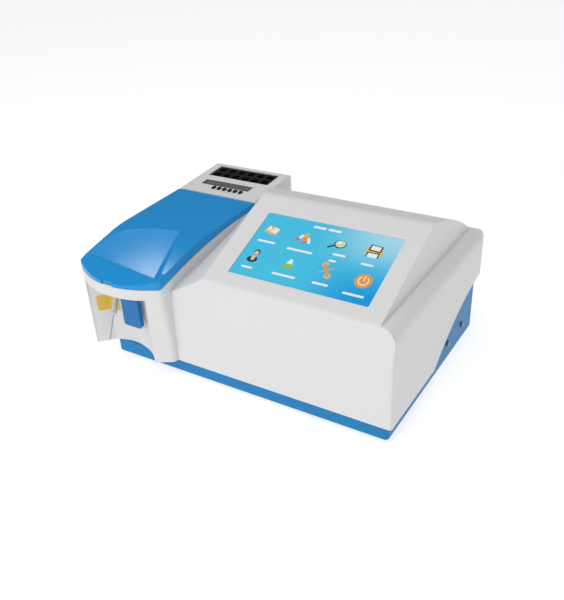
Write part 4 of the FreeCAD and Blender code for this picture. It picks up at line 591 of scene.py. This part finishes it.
def rodItem(n, l, entry):
    item = n.new("GeometryNodeMeshCylinder")
    l.new(entry.outputs["Sides"], item.inputs["Vertices"])
    l.new(entry.outputs["Radius"], item.inputs["Radius"])
    l.new(entry.outputs["Height"], item.inputs["Depth"])
    return item.outputs["Mesh"]


def boxItem(n, l, entry):
    item = n.new("GeometryNodeMeshCube")
    l.new(entry.outputs["Size"], item.inputs["Size"])
    return item.outputs["Mesh"]


common = [("Turn", "NodeSocketRotation", None), ("Finish", "NodeSocketMaterial", None)]
rodInputs = common + [
    ("Sides", "NodeSocketInt", 20),
    ("Radius", "NodeSocketFloat", 0.002),
    ("Height", "NodeSocketFloat", 0.001),
]
boxInputs = common + [("Size", "NodeSocketVector", (0.001, 0.001, 0.001))]
rodGroup = repeatGroup("repeatRods", rodItem, rodInputs)
boxGroup = repeatGroup("repeatBoxes", boxItem, boxInputs)
cellGroup = repeatGroup("repeatCells", boxItem, boxInputs, cellVary)


def repeated(name, tree, points, finish, slotName, body, turn=(0.0, 0.0, 0.0), **values):
    # points in mm; lengths in values in metres
    holder = bpy.data.meshes.new(name)
    holder.from_pydata([Vector(p) * mm for p in points], [], [])
    obj = bpy.data.objects.new(name, holder)
    bpy.context.scene.collection.objects.link(obj)
    modifier = obj.modifiers.new(name, "NODES")
    modifier.node_group = tree
    given = dict(values, Turn=turn, Finish=finishes[finish])
    for item in tree.interface.items_tree:
        if item.in_out == "INPUT" and item.name in given:
            modifier[item.identifier] = given[item.name]
    graph = bpy.context.evaluated_depsgraph_get()
    mesh = bpy.data.meshes.new_from_object(obj.evaluated_get(graph))
    obj.modifiers.remove(modifier)
    obj.data = mesh
    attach(obj, body)


strip = {
    "x": (-159.4, -93.6), "y": (-60.6, -51.6), "columns": 24, "rows": 4, "top": -0.3,
    "cell": (0.0019, 0.0015, 0.0001),
}


def stripCells():
    # pale cells of the timer display under its grey window
    points = []
    for i in range(strip["columns"]):
        for j in range(strip["rows"]):
            x = strip["x"][0] + (strip["x"][1] - strip["x"][0]) * (i + 0.5) / strip["columns"]
            y = strip["y"][0] + (strip["y"][1] - strip["y"][0]) * (j + 0.5) / strip["rows"]
            spot = towerPlace @ Vector((x * mm, y * mm, strip["top"] * mm))
            points.append(spot / mm)
    turn = towerPlace.to_euler()
    repeated("timerCells", cellGroup, points, "stripPale", "window_grey", "housing", turn,
             Size=strip["cell"])


stripCells()

screws = {
    "rear": [(x, 129.5, z) for x in (2.0, 64.0, 161.0) for z in (17.0, 59.0)],
    "fan": [(-30.0 + a, 132.3, 38.0 + b) for a in (-21.2, 21.2) for b in (-21.2, 21.2)],
    "pump": [(-118.0 + a, -66.0 + b, 101.5) for a in (-19.5, 19.5) for b in (-19.5, 19.5)],
    "cell": [(-118.0 + a, 12.0 + b, 109.5) for a in (-15.5, 15.5) for b in (-15.5, 15.5)],
    "rightSide": [(177.7, y, 23.4) for y in (50.2, 95.1)],
    "leftSide": [(-164.7, y, 23.4) for y in (50.2, 95.1)],
    "radius": 2.6, "height": 1.6, "sides": 22, "crossLength": 3.0, "crossWidth": 0.55,
    "crossDepth": 0.0001,
}


def screwHeads(key, normal, heads=True):
    # pan heads standing out along the normal, each with a dark cross painted on it as the shade in
    # its recess;
    # heads=False where the source already has the heads
    out = Vector(normal)
    turn = out.to_track_quat("Z", "Y").to_euler()
    rise = screws["height"] if heads else 0.0
    if heads:
        points = [Vector(p) + out * rise / 2 for p in screws[key]]
        repeated(key + "ScrewHeads", rodGroup, points, "screwDark", "screw_steel", "housing", turn,
                 Sides=screws["sides"], Radius=screws["radius"] * mm, Height=rise * mm)
    points = [Vector(p) + out * rise for p in screws[key]]
    long, thin = screws["crossLength"] * mm, screws["crossWidth"] * mm
    deep = screws["crossDepth"]
    # each cross is a flat dark sheet painted in place of the shaded recess
    for label, size in (("CrossA", (long, thin, deep)), ("CrossB", (thin, long, deep))):
        repeated(key + label, boxGroup, points, "paintedRecessShade", "screw_steel", "housing", turn,
                 Size=size)


for key in ("rear", "fan"):
    screwHeads(key, (0, 1, 0))
for key in ("pump", "cell"):
    screwHeads(key, (0, 0, 1))
screwHeads("rightSide", (1, 0, 0), heads=False)
screwHeads("leftSide", (-1, 0, 0), heads=False)

pins = {
    "x": 44.0, "y": 132.5, "z": 38.0, "pitch": 2.77, "row": 1.42, "upper": 5, "lower": 4,
    "sides": 10, "radius": 0.0005, "height": 0.004,
}


def serialPins():
    # two rows standing off the plate's plane, each centred on the socket
    points = []
    for count, rise in ((pins["upper"], pins["row"]), (pins["lower"], -pins["row"])):
        for i in range(count):
            x = pins["x"] + (i - (count - 1) / 2) * pins["pitch"]
            points.append((x, pins["y"], pins["z"] + rise))
    turn = Vector((0, 1, 0)).to_track_quat("Z", "Y").to_euler()
    repeated("serialPins", rodGroup, points, "pinGold", "screw_steel", "housing", turn,
             Sides=pins["sides"], Radius=pins["radius"], Height=pins["height"])


serialPins()
print("repeated pieces done")

# Light, floor and camera

studio = {
    "floorHalf": 6.0, "floorColor": (0.45, 0.45, 0.45), "floorGlow": 0.72,
    "floorRoughness": 0.9, "floorSpecular": 0.1,
    "worldStrength": 0.44, "mirrorStrength": 0.10, "aim": (0.0, 0.0, 0.08),
    "keyPlace": (-0.55, -1.60, 1.05), "keyPower": 9.5, "keySize": 1.2,
    "fillPlace": (1.9, -0.6, 0.9), "fillPower": 0.3, "fillSize": 1.4,
    "topPlace": (0.35, -0.55, 2.1), "topPower": 13.0, "topSize": 1.0,
    "sparkPlace": (-1.280, 0.659, 1.555), "sparkPower": 0.75, "sparkSize": 0.14,
}


def addLamp(kind):
    lamp = bpy.data.lights.new(kind + "Lamp", "AREA")
    lamp.energy = studio[kind + "Power"]
    lamp.shape = "DISK"
    lamp.size = studio[kind + "Size"]
    place = Vector(studio[kind + "Place"])
    obj = bpy.data.objects.new(kind + "Lamp", lamp)
    obj.location = place
    obj.rotation_euler = (Vector(studio["aim"]) - place).to_track_quat("-Z", "Y").to_euler()
    bpy.context.scene.collection.objects.link(obj)


def skyStrength(tree):
    # plain white for the camera and through glass, much dimmer in reflections, and between
    # the two as light
    n, l = tree.nodes, tree.links
    path = n.new("ShaderNodeLightPath")
    seen = n.new("ShaderNodeMath")
    seen.operation = "MAXIMUM"
    l.new(path.outputs["Is Camera Ray"], seen.inputs[0])
    l.new(path.outputs["Is Transmission Ray"], seen.inputs[1])
    last = None
    steps = (
        (path.outputs["Is Glossy Ray"], studio["mirrorStrength"]),
        (seen.outputs[0], 1.0),
    )
    for mask, value in steps:
        node = n.new("ShaderNodeMix")
        l.new(mask, node.inputs["Factor"])
        node.inputs["A"].default_value = studio["worldStrength"]
        node.inputs["B"].default_value = value
        if last:
            l.new(last, node.inputs["A"])
        last = node.outputs["Result"]
    return last


def buildStudio():
    scene = bpy.context.scene
    scene.view_settings.view_transform = "Standard"
    world = bpy.data.worlds.new("studioWorld")
    world.use_nodes = True
    scene.world = world
    tree = world.node_tree
    back = tree.nodes["Background"]
    back.inputs["Color"].default_value = (1.0, 1.0, 1.0, 1.0)
    tree.links.new(skyStrength(tree), back.inputs["Strength"])

    mesh = bpy.data.meshes.new("floor")
    r = studio["floorHalf"]
    mesh.from_pydata([(-r, -r, 0), (r, -r, 0), (r, r, 0), (-r, r, 0)], [], [(0, 1, 2, 3)])
    floor = bpy.data.objects.new("floor", mesh)
    scene.collection.objects.link(floor)
    mat = bpy.data.materials.new("floorPale")
    mat.use_nodes = True
    shader = mat.node_tree.nodes["Principled BSDF"]
    shader.inputs["Base Color"].default_value = (*studio["floorColor"], 1.0)
    shader.inputs["Roughness"].default_value = studio["floorRoughness"]
    shader.inputs["Specular IOR Level"].default_value = studio["floorSpecular"]
    shader.inputs["Emission Color"].default_value = (1.0, 1.0, 1.0, 1.0)
    shader.inputs["Emission Strength"].default_value = studio["floorGlow"]
    mesh.materials.append(mat)

    for kind in ("key", "fill", "top", "spark"):
        addLamp(kind)


buildStudio()

photoCamera = {
    "place": (0.3828, -0.6009, 0.4660), "turn": 32.7, "tilt": -29.8, "roll": -2.8, "lens": 43.64,
    "sensor": 36.0, "clipStart": 0.01,
}


def buildCamera():
    turn, tilt, roll = (math.radians(photoCamera[k]) for k in ("turn", "tilt", "roll"))
    level = math.cos(tilt)
    ahead = Vector((-math.sin(turn) * level, math.cos(turn) * level, math.sin(tilt)))
    side = ahead.cross(Vector((0, 0, 1))).normalized()
    up = side.cross(ahead)
    sideRolled = math.cos(roll) * side + math.sin(roll) * up
    upRolled = -math.sin(roll) * side + math.cos(roll) * up
    data = bpy.data.cameras.new("photoCamera")
    data.sensor_width = photoCamera["sensor"]
    data.sensor_fit = "AUTO"
    data.lens = photoCamera["lens"]
    data.clip_start = photoCamera["clipStart"]
    obj = bpy.data.objects.new("photoCamera", data)
    axes = Matrix((sideRolled, upRolled, -ahead)).transposed().to_4x4()
    obj.matrix_world = Matrix.Translation(photoCamera["place"]) @ axes
    bpy.context.scene.collection.objects.link(obj)
    bpy.context.scene.camera = obj


buildCamera()
print("studio and camera done")
